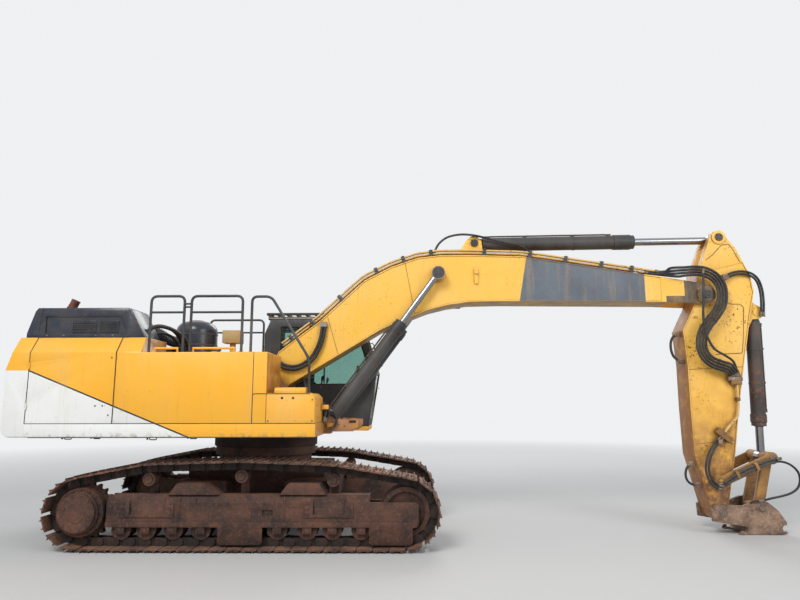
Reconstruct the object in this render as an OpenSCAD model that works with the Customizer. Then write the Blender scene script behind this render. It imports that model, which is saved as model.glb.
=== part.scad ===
// Crawler excavator, parked with its quick coupler on the ground.
// +X forward, +Y to the machine's left, +Z up. Millimetres, full size.
// Most places are given from the slew axis, which stands slew_x behind the origin.

/* [Tracks] */
// Distance from the sprocket's axis to the idler's axis
axle_base = 4370; // [4000:10:4700]
// Distance between the two tracks' centre lines
gauge = 2390; // [2300:10:2700]
// Width of a track shoe
shoe_w = 600; // [500:10:600]
// Number of shoes in each track
shoe_count = 52; // [46:1:58]
// Radius of the chain's pin line round sprocket and idler
wrap_r = 392; // [370:1:410]
// Height of a grouser above its shoe
grouser_h = 28; // [20:1:40]
// Thickness of a shoe plate
shoe_t = 20; // [14:1:26]
// From the pin line out to the shoe plate
link_out = 55; // [45:1:65]
// From the pin line in to the rail that the rollers run on
link_in = 52; // [45:1:60]
// Radius of a bottom roller's tread
roller_r = 110; // [95:1:120]
// Radius of a carrier roller
carrier_r = 88; // [70:1:100]
// Radius of a final drive's outer drum
drive_r = 270; // [220:1:290]
// Half the width of a track frame
frame_hw = 165; // [150:1:180]
// Height of a track frame's upper edge
frame_top = 715; // [680:5:740]

/* [Upper structure] */
// Half the width of the upper structure
side_y = 1480; // [1450:5:1481]
// Height of the upper structure's underside
deck_z = 1485; // [1450:5:1550]
// Height of the sill band along the sides
sill_h = 180; // [150:5:220]
// Height of the crease where the side panels lean inward
crease_z = 2635; // [2500:5:2700]
// Height of the engine bay's top edge
bay_z = 2855; // [2800:5:2950]
// How far the side panels lean in between the crease and the top edge
lean_in = 170; // [120:5:200]
// Swing radius of the tail
tail_r = 3620; // [3550:5:3800]
// Depth of the counterweight, from the tail to the engine bay
tail_depth = 635; // [570:5:700]
// Front edge of the pump and radiator doors
bay_front = -1785; // [-1900:5:-1700]
// Where the side boxes step down to the walking deck
step_x = -1450; // [-1600:5:-1300]
// Front of the tank
tank_front = 300; // [200:5:400]
// Thickness of doors and side panels
panel_t = 40; // [25:1:50]
// Inner edge of the raised hood, on the right of the engine bay
hood_in = 700; // [600:10:900]
// Gap round each door
door_gap = 8; // [5:1:12]
// Height of the hood above the engine bay
hood_h = 430; // [350:5:480]
// Radius of a handrail tube
rail_r = 20; // [14:1:24]

/* [Cab] */
// Inner side of the cab, next to the boom
cab_y0 = 525; // [515:5:600]
// Height of the cab's roof
cab_top = 3390; // [3300:5:3450]
// Thickness of the cab's walls
cab_t = 45; // [30:1:55]

/* [Boom and stick] */
// Half the width of the boom
boom_hw = 280; // [250:5:285]
// Plate thickness of boom and stick
plate_t = 20; // [12:1:30]
// Half the width of the stick
stick_hw = 215; // [190:5:219]
// Radius of the large pivot pins
pin_r = 60; // [50:1:70]
// Radius of the smaller link pins
link_pin_r = 45; // [40:1:50]
// Running clearance of a pin in its bore, on the radius
fit = 0.05; // [0.02:0.01:0.1]
// Side gap between pieces that move past each other
side_gap = 6; // [5:0.5:8]

/* [Cylinders] */
// Outer radius of a boom cylinder's barrel
boom_barrel_r = 98; // [85:1:100]
// Outer radius of the arm cylinder's barrel
arm_barrel_r = 112; // [95:1:120]
// Outer radius of the bucket cylinder's barrel
bucket_barrel_r = 105; // [90:1:110]
// Distance of a boom cylinder from the centre plane
boom_cyl_y = 400; // [395:1:402]

/* [Quick coupler] */
// Half the width of the coupler
coupler_hw = 265; // [255:1:267]
// Radius of the pins that the hooks take
hook_r = 50; // [45:1:55]
// Distance between the two hooks' seats
hook_base = 610; // [600:1:618]

/* [Hidden] */
$fn = 64;

// Places in the machine's centre plane, [x, z] from the slew axis
boom_foot = [110, 2215];
boom_tip = [6882, 3607];
stick_top = [7184, 4539];
stick_end = [6888, 310];
link_foot = [6880, 760];
link_end = [7667, 1109];
coupler_ear = [7471, 376];
boom_cyl_foot = [1003, 1640];
boom_cyl_eye = [2700, 3940];
arm_cyl_foot = [3300, 4490];
bucket_cyl_foot = [7722, 3342];

nose_x = 7822;
// The hose loop in front of the coupler is the foremost point
front_x = 8038.92;
slew_x = (front_x - tail_r) / 2;
bay_rear = tail_depth - tail_r;

// Chain, track path and rollers
axle_x = axle_base / 2;
axle_z = wrap_r + link_out + shoe_t + grouser_h;
track_y = gauge / 2;
rail_y = [50, 95];
roller_x = [-1640, -1300, -935, -560, -20, 470, 870, 1205, 1590];
// Carrier rollers: place along the track, height of the pin line above
carriers = [[-1304, 1062], [-41, 1100], [1206, 1056]];
roller_z = axle_z - wrap_r + link_in + roller_r + 0.3;
touch = 0.3;

function unit(v) = v / norm(v);
function outward(d) = [d[1], -d[0]];
function arc(c, r, a0, a1, n) =
    [for (i = [0 : n]) c + r * [cos(a0 + (a1 - a0) * i / n), sin(a0 + (a1 - a0) * i / n)]];
// Angle at which a line from point p meets the circle at c, on its upper side
function touch_angle(c, r, p, side) =
    atan2(p[1] - c[1], p[0] - c[0]) - side * acos(r / norm(p - c));
front_axle = [axle_x, axle_z];
rear_axle = [-axle_x, axle_z];
track_path = concat(
    arc(front_axle, wrap_r, -90, touch_angle(front_axle, wrap_r, carriers[2], 1), 80),
    [carriers[2], carriers[1], carriers[0]],
    arc(rear_axle, wrap_r, touch_angle(rear_axle, wrap_r, carriers[0], -1), 270, 80),
    [front_axle - [0, wrap_r]]);
function run(p, i) = i == 0 ? 0 : run(p, i - 1) + norm(p[i] - p[i - 1]);
path_run = [for (i = [0 : len(track_path) - 1]) run(track_path, i)];
path_x = [for (i = [0 : len(track_path) - 1]) [path_run[i], track_path[i][0]]];
path_z = [for (i = [0 : len(track_path) - 1]) [path_run[i], track_path[i][1]]];
path_len = path_run[len(path_run) - 1];
pitch = path_len / shoe_count;
chain = [for (i = [0 : shoe_count - 1])
    [lookup(i * pitch, path_x), lookup(i * pitch, path_z)]];
function chain_dir(i) =
    unit(chain[(i + 1) % shoe_count] - chain[(i + shoe_count) % shoe_count]);
function chain_ring(v) = [for (i = [0 : shoe_count - 1])
    chain[i] + v * outward(unit(chain_dir(i) + chain_dir(i + shoe_count - 1)))];
// Half the angle that one link spans on the sprocket, and the radius inside the links there
link_half = asin(pitch / 2 / wrap_r);
rim_r = wrap_r * cos(link_half) - link_in - touch;

shoe_top = link_out + shoe_t;
// Shoe outline: place along the pitch, height above the pin line
shoe_form = [
    [-0.48, shoe_top - 4], [-0.36, shoe_top], [-0.28, shoe_top + grouser_h],
    [-0.22, shoe_top], [0.16, shoe_top], [0.24, shoe_top + grouser_h],
    [0.3, shoe_top], [0.48, shoe_top - 4]];
shoe_ring = [for (i = [0 : shoe_count - 1]) for (p = shoe_form)
    let (a = chain[i], b = chain[(i + 1) % shoe_count], d = unit(b - a))
    (a + b) / 2 + p[0] * pitch * d + p[1] * outward(d)];

// The part of the chain above the carrier rollers, left to right
top_run = [for (i = [shoe_count - 1 : -1 : 0])
    if (chain[i][1] > axle_z + wrap_r * 0.9) chain[i]];
function carrier_axis_z(x) = lookup(x, top_run) - link_in - carrier_r - 1;

// Shared helpers
module machine() { translate([-slew_x, 0, 0]) children(); }
// Extrudes an outline in x and z along y
module along_y(y0, y1) {
    translate([0, y1, 0]) rotate([90, 0, 0]) linear_extrude(y1 - y0) children();
}
// Extrudes an outline in y and z along x
module along_x(x0, x1) {
    translate([x0, 0, 0]) rotate([90, 0, 90]) linear_extrude(x1 - x0) children();
}
module both_sides() {
    children();
    mirror([0, 1, 0]) children();
}
module shaft_y(p, r, y0, y1) {
    translate([p[0], y0, p[1]]) rotate([-90, 0, 0]) cylinder(r = r, h = y1 - y0);
}
module block(a, b) { translate(a) cube(b - a); }
module rotate_y(p, a) { translate([p[0], 0, p[1]]) rotate([0, a, 0]) children(); }
// Round bar through a list of points
module bar(points, r) {
    for (i = [0 : len(points) - 2]) {
        d = points[i + 1] - points[i];
        translate(points[i])
            rotate([0, acos(d[2] / norm(d)), atan2(d[1], d[0])])
                cylinder(r = r, h = norm(d), $fn = 24);
    }
    if (len(points) > 2)
        for (i = [1 : len(points) - 2]) translate(points[i]) sphere(r = r, $fn = 24);
}

// Smooth tube swept along a list of points
function tangents(p) = [for (i = [0 : len(p) - 1])
    unit((i > 0 ? unit(p[i] - p[i - 1]) : [0, 0, 0])
        + (i < len(p) - 1 ? unit(p[i + 1] - p[i]) : [0, 0, 0]))];
function carry(t, n, i = 0) = i == len(t) ? [] :
    let (m = unit(n - (n * t[i]) * t[i])) concat([m], carry(t, m, i + 1));
module tube(points, r, sides = 8) {
    t = tangents(points);
    n = carry(t, abs(t[0][1]) < 0.8 ? [0, 1, 0] : [1, 0, 0]);
    last = len(points) - 1;
    rings = [for (i = [0 : last]) for (k = [0 : sides - 1])
        let (a = 360 * k / sides) points[i] + r * (cos(a) * n[i] + sin(a) * cross(t[i], n[i]))];
    walls = [for (i = [0 : last - 1]) for (k = [0 : sides - 1])
        let (a = i * sides + k, b = i * sides + (k + 1) % sides)
        each [[a, b, b + sides], [a, b + sides, a + sides]]];
    ends = [[for (k = [0 : sides - 1]) k],
        [for (k = [sides - 1 : -1 : 0]) last * sides + k]];
    polyhedron(points = rings,
        faces = [for (f = concat(walls, ends)) [for (j = [len(f) - 1 : -1 : 0]) f[j]]]);
}

// Smooth curve through a few points, n steps from each to the next
function spline(p, n) = concat([for (i = [0 : len(p) - 2]) for (k = [0 : n - 1])
    let (t = k / n, a = p[max(i - 1, 0)], b = p[i], c = p[i + 1], d = p[min(i + 2, len(p) - 1)])
    0.5 * (2 * b + (c - a) * t + (2 * a - 5 * b + 4 * c - d) * t * t
        + (3 * b - a - 3 * c + d) * t * t * t)], [p[len(p) - 1]]);
// Line of [x, z] points moved by h to its upper side
function up_normal(a, b) = let (d = unit(b - a)) [-d[1], d[0]];
function lifted(p, h) = [for (i = [0 : len(p) - 1])
    let (n0 = up_normal(p[max(i - 1, 0)], p[max(i, 1)]),
        n1 = up_normal(p[min(i, len(p) - 2)], p[min(i + 1, len(p) - 1)]), m = unit(n0 + n1))
    p[i] + h * m / (m * n1)];
// Hose through points [x, y, z], and the same moved by d towards its upper side
function moved(p, d) = let (q = lifted([for (v = p) [v[0], v[2]]], d))
    [for (i = [0 : len(p) - 1]) [q[i][0], p[i][1], q[i][1]]];
module hose(p, r, d = 0, steps = 3) { tube(spline(moved(p, d), steps), r); }

// Undercarriage
module track_loop(y) {
    translate([0, y, 0]) {
        along_y(-shoe_w / 2, shoe_w / 2) difference() {
            polygon(shoe_ring);
            polygon(chain_ring(link_out));
        }
        for (s = [-1, 1])
            along_y(min(s * rail_y[0], s * rail_y[1]), max(s * rail_y[0], s * rail_y[1]))
                difference() {
                    polygon(chain_ring(link_out));
                    polygon(chain_ring(-link_in));
                }
    }
}
module track_right() { machine() color([0.36, 0.25, 0.2]) track_loop(-track_y); }
module track_left() { machine() color([0.36, 0.25, 0.2]) track_loop(track_y); }

sprocket_hw = 40;
// Arm of the track frame that carries the final drive
arm_t = 60;
tooth_count = 23;
module sprockets() {
    machine() color([0.4, 0.28, 0.22]) both_sides() translate([0, -track_y, 0]) {
        along_y(-sprocket_hw, sprocket_hw) translate(rear_axle) {
            circle(r = wrap_r - 50);
            for (i = [0 : tooth_count - 1]) rotate(i * 360 / tooth_count)
                polygon([[wrap_r - 55, -34], [wrap_r - 4, -12], [wrap_r - 4, 12],
                    [wrap_r - 55, 34]]);
        }
        // flange and drum outside, cover, and the fixed hub inside
        shaft_y(rear_axle, drive_r + 48, -185, -sprocket_hw);
        shaft_y(rear_axle, drive_r, -shoe_w / 2 + 60, -185);
        shaft_y(rear_axle, drive_r - 24, -shoe_w / 2 + 12, -shoe_w / 2 + 60);
        // studs round the flange and two plugs in the cover
        for (i = [0 : 15]) rotate_y(rear_axle, i * 22.5)
            shaft_y([drive_r + 24, 0], 14, -203, -184);
        for (a = [20, 200]) rotate_y(rear_axle, a)
            shaft_y([drive_r - 90, 0], 24, -shoe_w / 2 + 2, -shoe_w / 2 + 13);
        shaft_y(rear_axle, drive_r - 10, sprocket_hw, frame_hw - arm_t - touch);
    }
}
module idlers() {
    machine() color([0.36, 0.25, 0.2]) both_sides() translate([0, -track_y, 0]) {
        difference() {
            shaft_y(front_axle, rim_r, -rail_y[1], rail_y[1]);
            for (s = [-1, 1])
                shaft_y(front_axle, rim_r - 60, s > 0 ? 45 : -rail_y[1] - 1,
                    s > 0 ? rail_y[1] + 1 : -45);
        }
        shaft_y(front_axle, rim_r + 34, -sprocket_hw, sprocket_hw);
        shaft_y(front_axle, 95, -frame_hw + 50 + touch, frame_hw - 50 - touch);
    }
}
module bottom_rollers() {
    machine() color([0.34, 0.24, 0.19]) both_sides() translate([0, -track_y, 0])
        for (x = roller_x) {
            shaft_y([x, roller_z], roller_r, -rail_y[1], rail_y[1]);
            for (s = [-1, 1])
                shaft_y([x, roller_z], roller_r + 22,
                    min(s * (rail_y[1] + 3), s * (rail_y[1] + 15)),
                    max(s * (rail_y[1] + 3), s * (rail_y[1] + 15)));
            shaft_y([x, roller_z], 45, -frame_hw + 32, frame_hw - 32);
        }
}
module carrier_rollers() {
    machine() color([0.34, 0.24, 0.19]) both_sides() translate([0, -track_y, 0])
        for (c = carriers) {
            p = [c[0], carrier_axis_z(c[0])];
            shaft_y(p, carrier_r, -rail_y[1] - 12, rail_y[1]);
            shaft_y(p, 50, -rail_y[1] - 30, frame_hw - 20);
            // the post that holds the axle
            block([p[0] - 55, rail_y[1] + 15, frame_top - ledge + touch],
                [p[0] + 55, frame_hw - 20, p[1] + 50]);
        }
}
frame_rear = -1834;
fork_rear = 1690;
frame_foot = 305;
// How far the frame's inner ledge lies below its upper edge
ledge = 60;
// Thickness of the plates that stand proud of the frame's outer side
proud = 12;
// Pockets in the outer side: rear end, front end
pockets = [[-1523, -1034], [946, 1378]];
// Guards between the rollers: rear end, front end
guards = [[-318, 274], [1700, 2280]];
fork_front = 2358;
// One track frame, drawn for the right side
module track_frame() {
    translate([0, -track_y, 0]) {
        difference() {
            along_x(frame_rear, fork_rear + 10) polygon([
                [-frame_hw, frame_foot], [-frame_hw, frame_top - 95],
                [-frame_hw + 70, frame_top], [rail_y[1] - 10, frame_top],
                [rail_y[1] - 10, frame_top - ledge], [frame_hw, frame_top - ledge],
                [frame_hw, frame_foot], [frame_hw - 30, frame_foot],
                [frame_hw - 30, roller_z + roller_r + 40],
                [-frame_hw + 30, roller_z + roller_r + 40], [-frame_hw + 30, frame_foot]]);
            for (s = pockets) block([s[0], -frame_hw - 1, 463], [s[1], -frame_hw + 36, 690]);
            block([266, -frame_hw - 1, 455], [410, -frame_hw + 26, 529]);
            // room for the sprocket's teeth
            block([frame_rear - 1, -sprocket_hw - 12, frame_foot - 1],
                [frame_rear + 50, sprocket_hw + 12, frame_top + 1]);
        }
        // saddles that hold the roller shafts' ends
        for (x = roller_x) for (s = [-1, 1])
            block([x - 60, s > 0 ? frame_hw - 31.5 : -frame_hw, roller_z - 48],
                [x + 60, s > 0 ? frame_hw : -frame_hw + 31.5, frame_foot + 1]);
        // fork arms round the idler
        for (s = [-1, 1]) along_y(s > 0 ? frame_hw - 50 : -frame_hw, s > 0 ? frame_hw : -frame_hw + 50)
            polygon([[fork_rear, frame_foot], [fork_front, frame_foot + 25],
                [fork_front, frame_top - 115], [fork_front - 30, frame_top - 95],
                [fork_rear, frame_top - 95]]);
        // lip along the outer side's lower edge
        block([frame_rear, -frame_hw - proud, frame_foot],
            [fork_front - 20, -frame_hw, frame_foot + 65]);
        // plates round the pockets
        for (p = pockets) difference() {
            block([p[0] - 110, -frame_hw - proud, 430], [p[1] + 110, -frame_hw, frame_top - 97]);
            block([p[0], -frame_hw - proud - 1, 463], [p[1], -frame_hw + 1, 690]);
        }
        // guards below the frame, outside and inside
        for (g = guards) for (s = [-1, 1])
            along_y(s > 0 ? frame_hw - 20 : -frame_hw - proud, s > 0 ? frame_hw : -frame_hw + 20)
                polygon([[g[0], frame_foot + 1], [g[0], 110], [g[0] + 40, 80], [g[1] - 40, 80],
                    [g[1], 110], [g[1], frame_foot + 1]]);
        // arm that carries the final drive
        along_y(frame_hw - arm_t, frame_hw) {
            translate(rear_axle) circle(r = 190);
            polygon([[-axle_x, axle_z - 190], [frame_rear + 20, frame_foot],
                [frame_rear + 20, frame_top - ledge], [-axle_x, axle_z + 190]]);
        }
    }
}
module track_frame_right() { machine() color([0.36, 0.24, 0.19]) track_frame(); }
module track_frame_left() {
    machine() color([0.36, 0.24, 0.19]) mirror([0, 1, 0]) track_frame();
}

ring_z = 1300;
beam_top = 865;
// Cross beams of the car body: rear foot, rear shoulder, front shoulder, front foot
beams = [[-1026, -911, -550, -326], [482, 597, 1025, 1122]];
module car_body() {
    machine() color([0.36, 0.25, 0.2]) {
        block([-1000, -620, 560], [1000, 620, 1040]);
        for (b = beams) {
            block([b[0], -track_y + frame_hw + touch, 500],
                [b[3], track_y - frame_hw - touch, beam_top]);
            along_y(-track_y - frame_hw + 20, track_y + frame_hw - 20) polygon([
                [b[0], frame_top + touch], [b[1], beam_top], [b[2], beam_top],
                [b[3], frame_top + touch]]);
        }
        translate([0, 0, 1040]) cylinder(r = 700, h = 130);
        translate([0, 0, 1170]) cylinder(r = 760, h = ring_z - 1170);
    }
}

// Upright hinges in the plane of the side panels. Each has a fixed knuckle with a pin
// below and a moving knuckle above; both halves cut room for the other's knuckle.
hinge_r = 13;
hinge_pin = 6;
hinge_h = 45;
module knuckle(x, s, z, r, h) { translate([x, s * side_y, z]) cylinder(r = r, h = h); }
module hinge_fixed(x, s, heights) {
    difference() {
        children();
        for (z = heights) knuckle(x, s, z - 2, hinge_r + 3, hinge_h + 5);
    }
    for (z = heights) {
        knuckle(x, s, z - hinge_h, hinge_r, hinge_h);
        knuckle(x, s, z - 5, hinge_pin, hinge_h + 5);
    }
}
module hinge_moving(x, s, heights) {
    difference() {
        union() {
            difference() {
                children();
                for (z = heights) knuckle(x, s, z - hinge_h - 3, hinge_r + 3, hinge_h + 3 + touch);
            }
            for (z = heights) knuckle(x, s, z + touch, hinge_r, hinge_h - touch);
        }
        for (z = heights) knuckle(x, s, z - 1, hinge_pin + fit, hinge_h + 2);
    }
}
bay_hinge_x = bay_rear + door_gap / 2;
bay_hinge_z = [1900, 2450];

// Upper structure
module house_section(z0) {
    polygon([
        [-side_y, z0], [side_y, z0], [side_y, crease_z], [side_y - lean_in, bay_z],
        [-side_y + lean_in, bay_z], [-side_y, crease_z]]);
}
tower_y = [286, 346];
lug_y = [boom_cyl_y - 65 - side_gap - 45, boom_cyl_y - 65 - side_gap,
    boom_cyl_y + 65 + side_gap, boom_cyl_y + 65 + side_gap + 45];
deck_top = deck_z + sill_h;
seat_z = deck_top + touch;
deck_front = 972;
centre_front = 850;
cab_back = -240;
module upper_frame() {
    machine() color([0.98, 0.73, 0.24]) {
        block([bay_rear, -side_y, deck_z], [deck_front, -560, deck_top]);
        block([bay_rear, -560, deck_z], [cab_back, side_y, deck_top]);
        block([cab_back, -560, deck_z], [centre_front, cab_y0 - side_gap, deck_top]);
        translate([0, 0, ring_z + 0.5]) cylinder(r = 780, h = deck_z - ring_z - 0.5);
        both_sides() {
            along_y(tower_y[0], tower_y[1]) polygon([
                [-700, deck_top], [-10, 2330], [60, 2375], [160, 2375], [230, 2330],
                [760, 1760], [760, deck_top]]);
            // lugs for the boom cylinder's foot
            for (y = [[lug_y[0], lug_y[1]], [lug_y[2], lug_y[3]]]) {
                along_y(y[0], y[1]) polygon([
                    [centre_front - 5, deck_z], [boom_cyl_foot[0] + 60, deck_z],
                    [boom_cyl_foot[0] + 60, boom_cyl_foot[1]],
                    [boom_cyl_foot[0] - 60, boom_cyl_foot[1] + 80], [centre_front - 5, deck_top]]);
                shaft_y(boom_cyl_foot, 120, y[0], y[1]);
            }
            shaft_y(boom_cyl_foot, pin_r, lug_y[0], lug_y[3] + 4);
            // nose plate in front of the outer lug
            along_y(lug_y[3] - 12, lug_y[3] + 3) polygon([
                [boom_cyl_foot[0], deck_z + 30], [1400, deck_z + 35], [1471, deck_z + 100],
                [1471, deck_z + 190], [1180, deck_z + 215], [boom_cyl_foot[0], deck_z + 215]]);
        }
        shaft_y(boom_foot, pin_r, -tower_y[1] - 30, tower_y[1] + 30);
    }
}
// Base on which the cab stands, beside the boom
module cab_base() {
    machine() color([0.98, 0.73, 0.24]) difference() {
        block([cab_back + touch, cab_y0, deck_z], [1560, side_y, cab_floor - touch]);
        for (x = [-150, 650]) block([x, cab_y0 + 120, deck_z - 1], [x + 650, side_y - 120, deck_z + 40]);
    }
}
module counterweight() {
    machine() color([0.93, 0.92, 0.88]) {
        hinge_fixed(bay_hinge_x, -1, bay_hinge_z) hinge_fixed(bay_hinge_x, 1, bay_hinge_z)
            tail_block();
        hood_hinge_fixed();
    }
}
module tail_block() {
    intersection() {
        rotate_extrude($fn = 180) polygon(concat(
            [[tail_r - tail_depth - 100, deck_z], [tail_r - tail_depth - 100, bay_z],
                [tail_r - 130, bay_z], [tail_r, 2400]],
            arc([tail_r - 120, deck_z + 120], 120, 0, -90, 6)));
        along_x(-tail_r - 10, bay_rear - touch) house_section(deck_z);
    }
}
bay_hw = side_y - lean_in - 68;
module bay_frame() {
    machine() color([0.2, 0.2, 0.2]) {
        // bulkhead between the engine bay and the tank
        along_x(bay_front - 30, bay_front) polygon([
            [-side_y + panel_t + 8, seat_z], [side_y - panel_t - 8, seat_z],
            [side_y - panel_t - 8, crease_z - 25], [bay_hw, bay_z - 3], [-bay_hw, bay_z - 3],
            [-side_y + panel_t + 8, crease_z - 25]]);
        both_sides() {
            block([bay_rear, bay_hw - 60, bay_z - 63], [bay_front - 30, bay_hw, bay_z - 3]);
            block([bay_rear, bay_hw - 60, seat_z], [bay_rear + 60, bay_hw, bay_z - 63]);
        }
        // cover over the engine, on the left of the hood
        block([bay_rear, -hood_in + 12, bay_z - 13], [bay_front - 30, bay_hw - 60, bay_z - 3]);
    }
}
// Doors over the engine bay: the same panel on both sides
module bay_door_panel() {
    along_x(bay_rear + door_gap, bay_front - door_gap) polygon([
        [-side_y, deck_top + 6], [-side_y, crease_z], [-side_y + lean_in, bay_z],
        [-side_y + lean_in + 50, bay_z], [-side_y + panel_t, crease_z - 15],
        [-side_y + panel_t, deck_top + 6]]);
}
module pump_door() {
    machine() color([0.98, 0.73, 0.24])
        hinge_moving(bay_hinge_x, -1, bay_hinge_z) bay_door_panel();
}
module radiator_door() {
    machine() color([0.98, 0.73, 0.24])
        hinge_moving(bay_hinge_x, 1, bay_hinge_z) mirror([0, 1, 0]) bay_door_panel();
}
module engine() {
    machine() color([0.3, 0.3, 0.3]) {
        block([bay_rear + 235, -700, seat_z], [bay_front - 265, 650, 2500]);
        block([bay_rear + 385, -1250, seat_z], [bay_front - 365, -700, 2250]);
    }
}
module radiator() {
    machine() color([0.15, 0.15, 0.15]) 
        block([bay_rear + 85, 1000, seat_z], [bay_front - 75, 1160, 2700]);
}
// Hood along the machine: rear foot, rear shoulder, front shoulder, front foot
hood_x = [bay_rear - 205, bay_rear - 65, bay_front + 35, bay_front + 285];
hood_out = side_y - lean_in - 48;
hood_foot = bay_z + 6;
hood_top = bay_z + hood_h;
// Framed panels in the hood's side: rear end, front end
hood_panels = [[bay_rear + 429, bay_rear + 778], [bay_front - 373, bay_front - 99]];
// Hinge of the hood behind its rear edge, on top of the tail
hood_hinge = [hood_x[0] - 24, bay_z + 24];
hood_hinge_y = [-1120, -820];
hood_knuckle_r = 18;
module hood_hinge_fixed() {
    for (y = hood_hinge_y) {
        shaft_y(hood_hinge, hood_knuckle_r, y - 60, y);
        shaft_y(hood_hinge, 9, y - 5, y + 60);
        block([hood_hinge[0] - 16, y - 60, bay_z - 5], [hood_hinge[0] + 10, y, hood_hinge[1]]);
    }
}
module engine_hood() {
    machine() color([0.1, 0.1, 0.1]) {
        for (y = hood_hinge_y) difference() {
            union() {
                shaft_y(hood_hinge, hood_knuckle_r, y + touch, y + 60);
                block([hood_hinge[0], y + touch, hood_hinge[1] + 2],
                    [hood_x[0] + 30, y + 60, hood_hinge[1] + 16]);
            }
            shaft_y(hood_hinge, 9 + fit, y - 1, y + 61);
        }
        difference() {
            along_y(-hood_out, -hood_in) polygon([
                [hood_x[0], hood_foot], [hood_x[0], hood_foot + 60], [hood_x[1] - 40, hood_top - 50],
                [hood_x[1], hood_top], [hood_x[2], hood_top], [hood_x[2] + 45, hood_top - 25],
                [hood_x[3], hood_foot]]);
            along_y(-hood_out + 30, -hood_in - 30) polygon([
                [hood_x[0] + 45, hood_foot - 1], [hood_x[1] + 35, hood_top - 30],
                [hood_x[2] - 25, hood_top - 30], [hood_x[3] - 70, hood_foot - 1]]);
            // recess in the outer side
            along_y(-hood_out - 1, -hood_out + 14) polygon([
                [bay_rear + 55, bay_z + 60], [bay_rear + 55, bay_z + 310],
                [bay_front - 75, bay_z + 310], [bay_front + 40, bay_z + 60]]);
        }
        // framed panels with slats
        for (p = hood_panels) {
            difference() {
                block([p[0], -hood_out + 4, bay_z + 78], [p[1], -hood_out + 14, bay_z + 245]);
                block([p[0] + 14, -hood_out + 3, bay_z + 92], [p[1] - 14, -hood_out + 15, bay_z + 231]);
            }
            for (i = [0 : 4]) block([p[0] + 10, -hood_out + 8, bay_z + 100 + i * 28],
                [p[1] - 10, -hood_out + 14.5, bay_z + 112 + i * 28]);
        }
    }
}
module exhaust() {
    machine() color([0.4, 0.25, 0.18])
        translate([bay_rear + 245, -950, hood_top + touch]) difference() {
            union() {
                cylinder(r = 70, h = 60);
                translate([0, 0, 40]) rotate([0, 25, 0]) cylinder(r = 60, h = 130);
            }
            translate([0, 0, 45]) rotate([0, 25, 0]) cylinder(r = 50, h = 150);
        }
}
module fuel_tank() {
    machine() color([0.98, 0.73, 0.24]) {
        intersection() {
            block([bay_front + touch, -side_y, seat_z], [step_x, -560, bay_z]);
            along_x(bay_front, step_x) house_section(seat_z);
        }
        block([step_x, -side_y, seat_z], [tank_front, -560, crease_z]);
        // low grab bars on the deck
        for (g = deck_bars) bar([[g[0], -side_y + 180, crease_z - 5],
            [g[0], -side_y + 180, crease_z + 65], [g[1], -side_y + 180, crease_z + 65],
            [g[1], -side_y + 180, crease_z - 5]], 17);
        // filler neck
        translate([-600, -900, crease_z - 5]) cylinder(r = 70, h = 60);
    }
}
// Grab bars on the deck: rear end, front end
deck_bars = [[-1330, -1010], [-790, -210]];
box_front = 964;
box_top = 2074;
module toolbox() {
    machine() color([0.98, 0.73, 0.24])
        along_y(-side_y, -700) polygon([
            [tank_front + touch, seat_z], [box_front, seat_z], [box_front, box_top - 60],
            [box_front - 60, box_top], [tank_front + touch, box_top]]);
    machine() color([0.98, 0.73, 0.24]) along_x(400, 830) polygon([
        [-side_y + 30, box_top - 5], [-side_y + 30, box_top + 50], [-side_y + 55, box_top + 76],
        [-1110, box_top + 76], [-1080, box_top + 50], [-1080, box_top - 5]]);
}
left_front = -300;
service_hinge_x = bay_front + 30 + door_gap / 2;
service_hinge_z = [1900, 2400];
module left_housing() {
    machine() color([0.98, 0.73, 0.24])
        hinge_fixed(service_hinge_x, 1, service_hinge_z) left_box();
    // small box on a post behind the cab
    machine() color([0.75, 0.62, 0.4]) {
        translate([-810, 750, crease_z - 5]) cylinder(r = 50, h = 330);
        block([-960, 620, crease_z + 320], [-660, 880, crease_z + 535]);
    }
}
module left_box() {
    mirror([0, 1, 0]) difference() {
        block([bay_front + touch, -side_y, seat_z], [left_front, -560, crease_z]);
        block([bay_front + 60, -side_y - 1, deck_top + 40], [left_front - 60, -600, crease_z - 60]);
        block([bay_front + 30, -side_y - 1, deck_top + 10],
            [left_front - 30, -side_y + panel_t + 2, crease_z - 30]);
    }
}
module service_door() {
    machine() color([0.98, 0.73, 0.24]) hinge_moving(service_hinge_x, 1, service_hinge_z)
        block([bay_front + 30 + door_gap, side_y - panel_t, deck_top + 18],
            [left_front - 30 - door_gap, side_y, crease_z - 38]);
}
// Air cleaner drum behind the cab, and the duct that comes to it from the engine
drum = [bay_front + 355, 720];
drum_r = 345;
duct = [[-2320, 40, bay_z], [-2310, 45, 3010], [-2200, 60, 3130], [-2040, 110, 3140],
    [-1900, 230, 3070], [-1800, 380, 2990], [-1700, 520, 2950], [-1600, 640, 2940]];
module air_cleaner() {
    machine() color([0.12, 0.12, 0.12]) {
        translate([drum[0], drum[1], 0]) rotate_extrude() polygon(concat(
            [[0, crease_z + touch], [drum_r, crease_z + touch]],
            arc([drum_r - 180, 3140], 180, 0, 80, 8), [[80, 3345], [0, 3345]]));
        hose(duct, 85, 0, 2);
        translate([duct[0][0], duct[0][1], bay_z - 2.7]) cylinder(r = 110, h = 40);
    }
}
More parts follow.
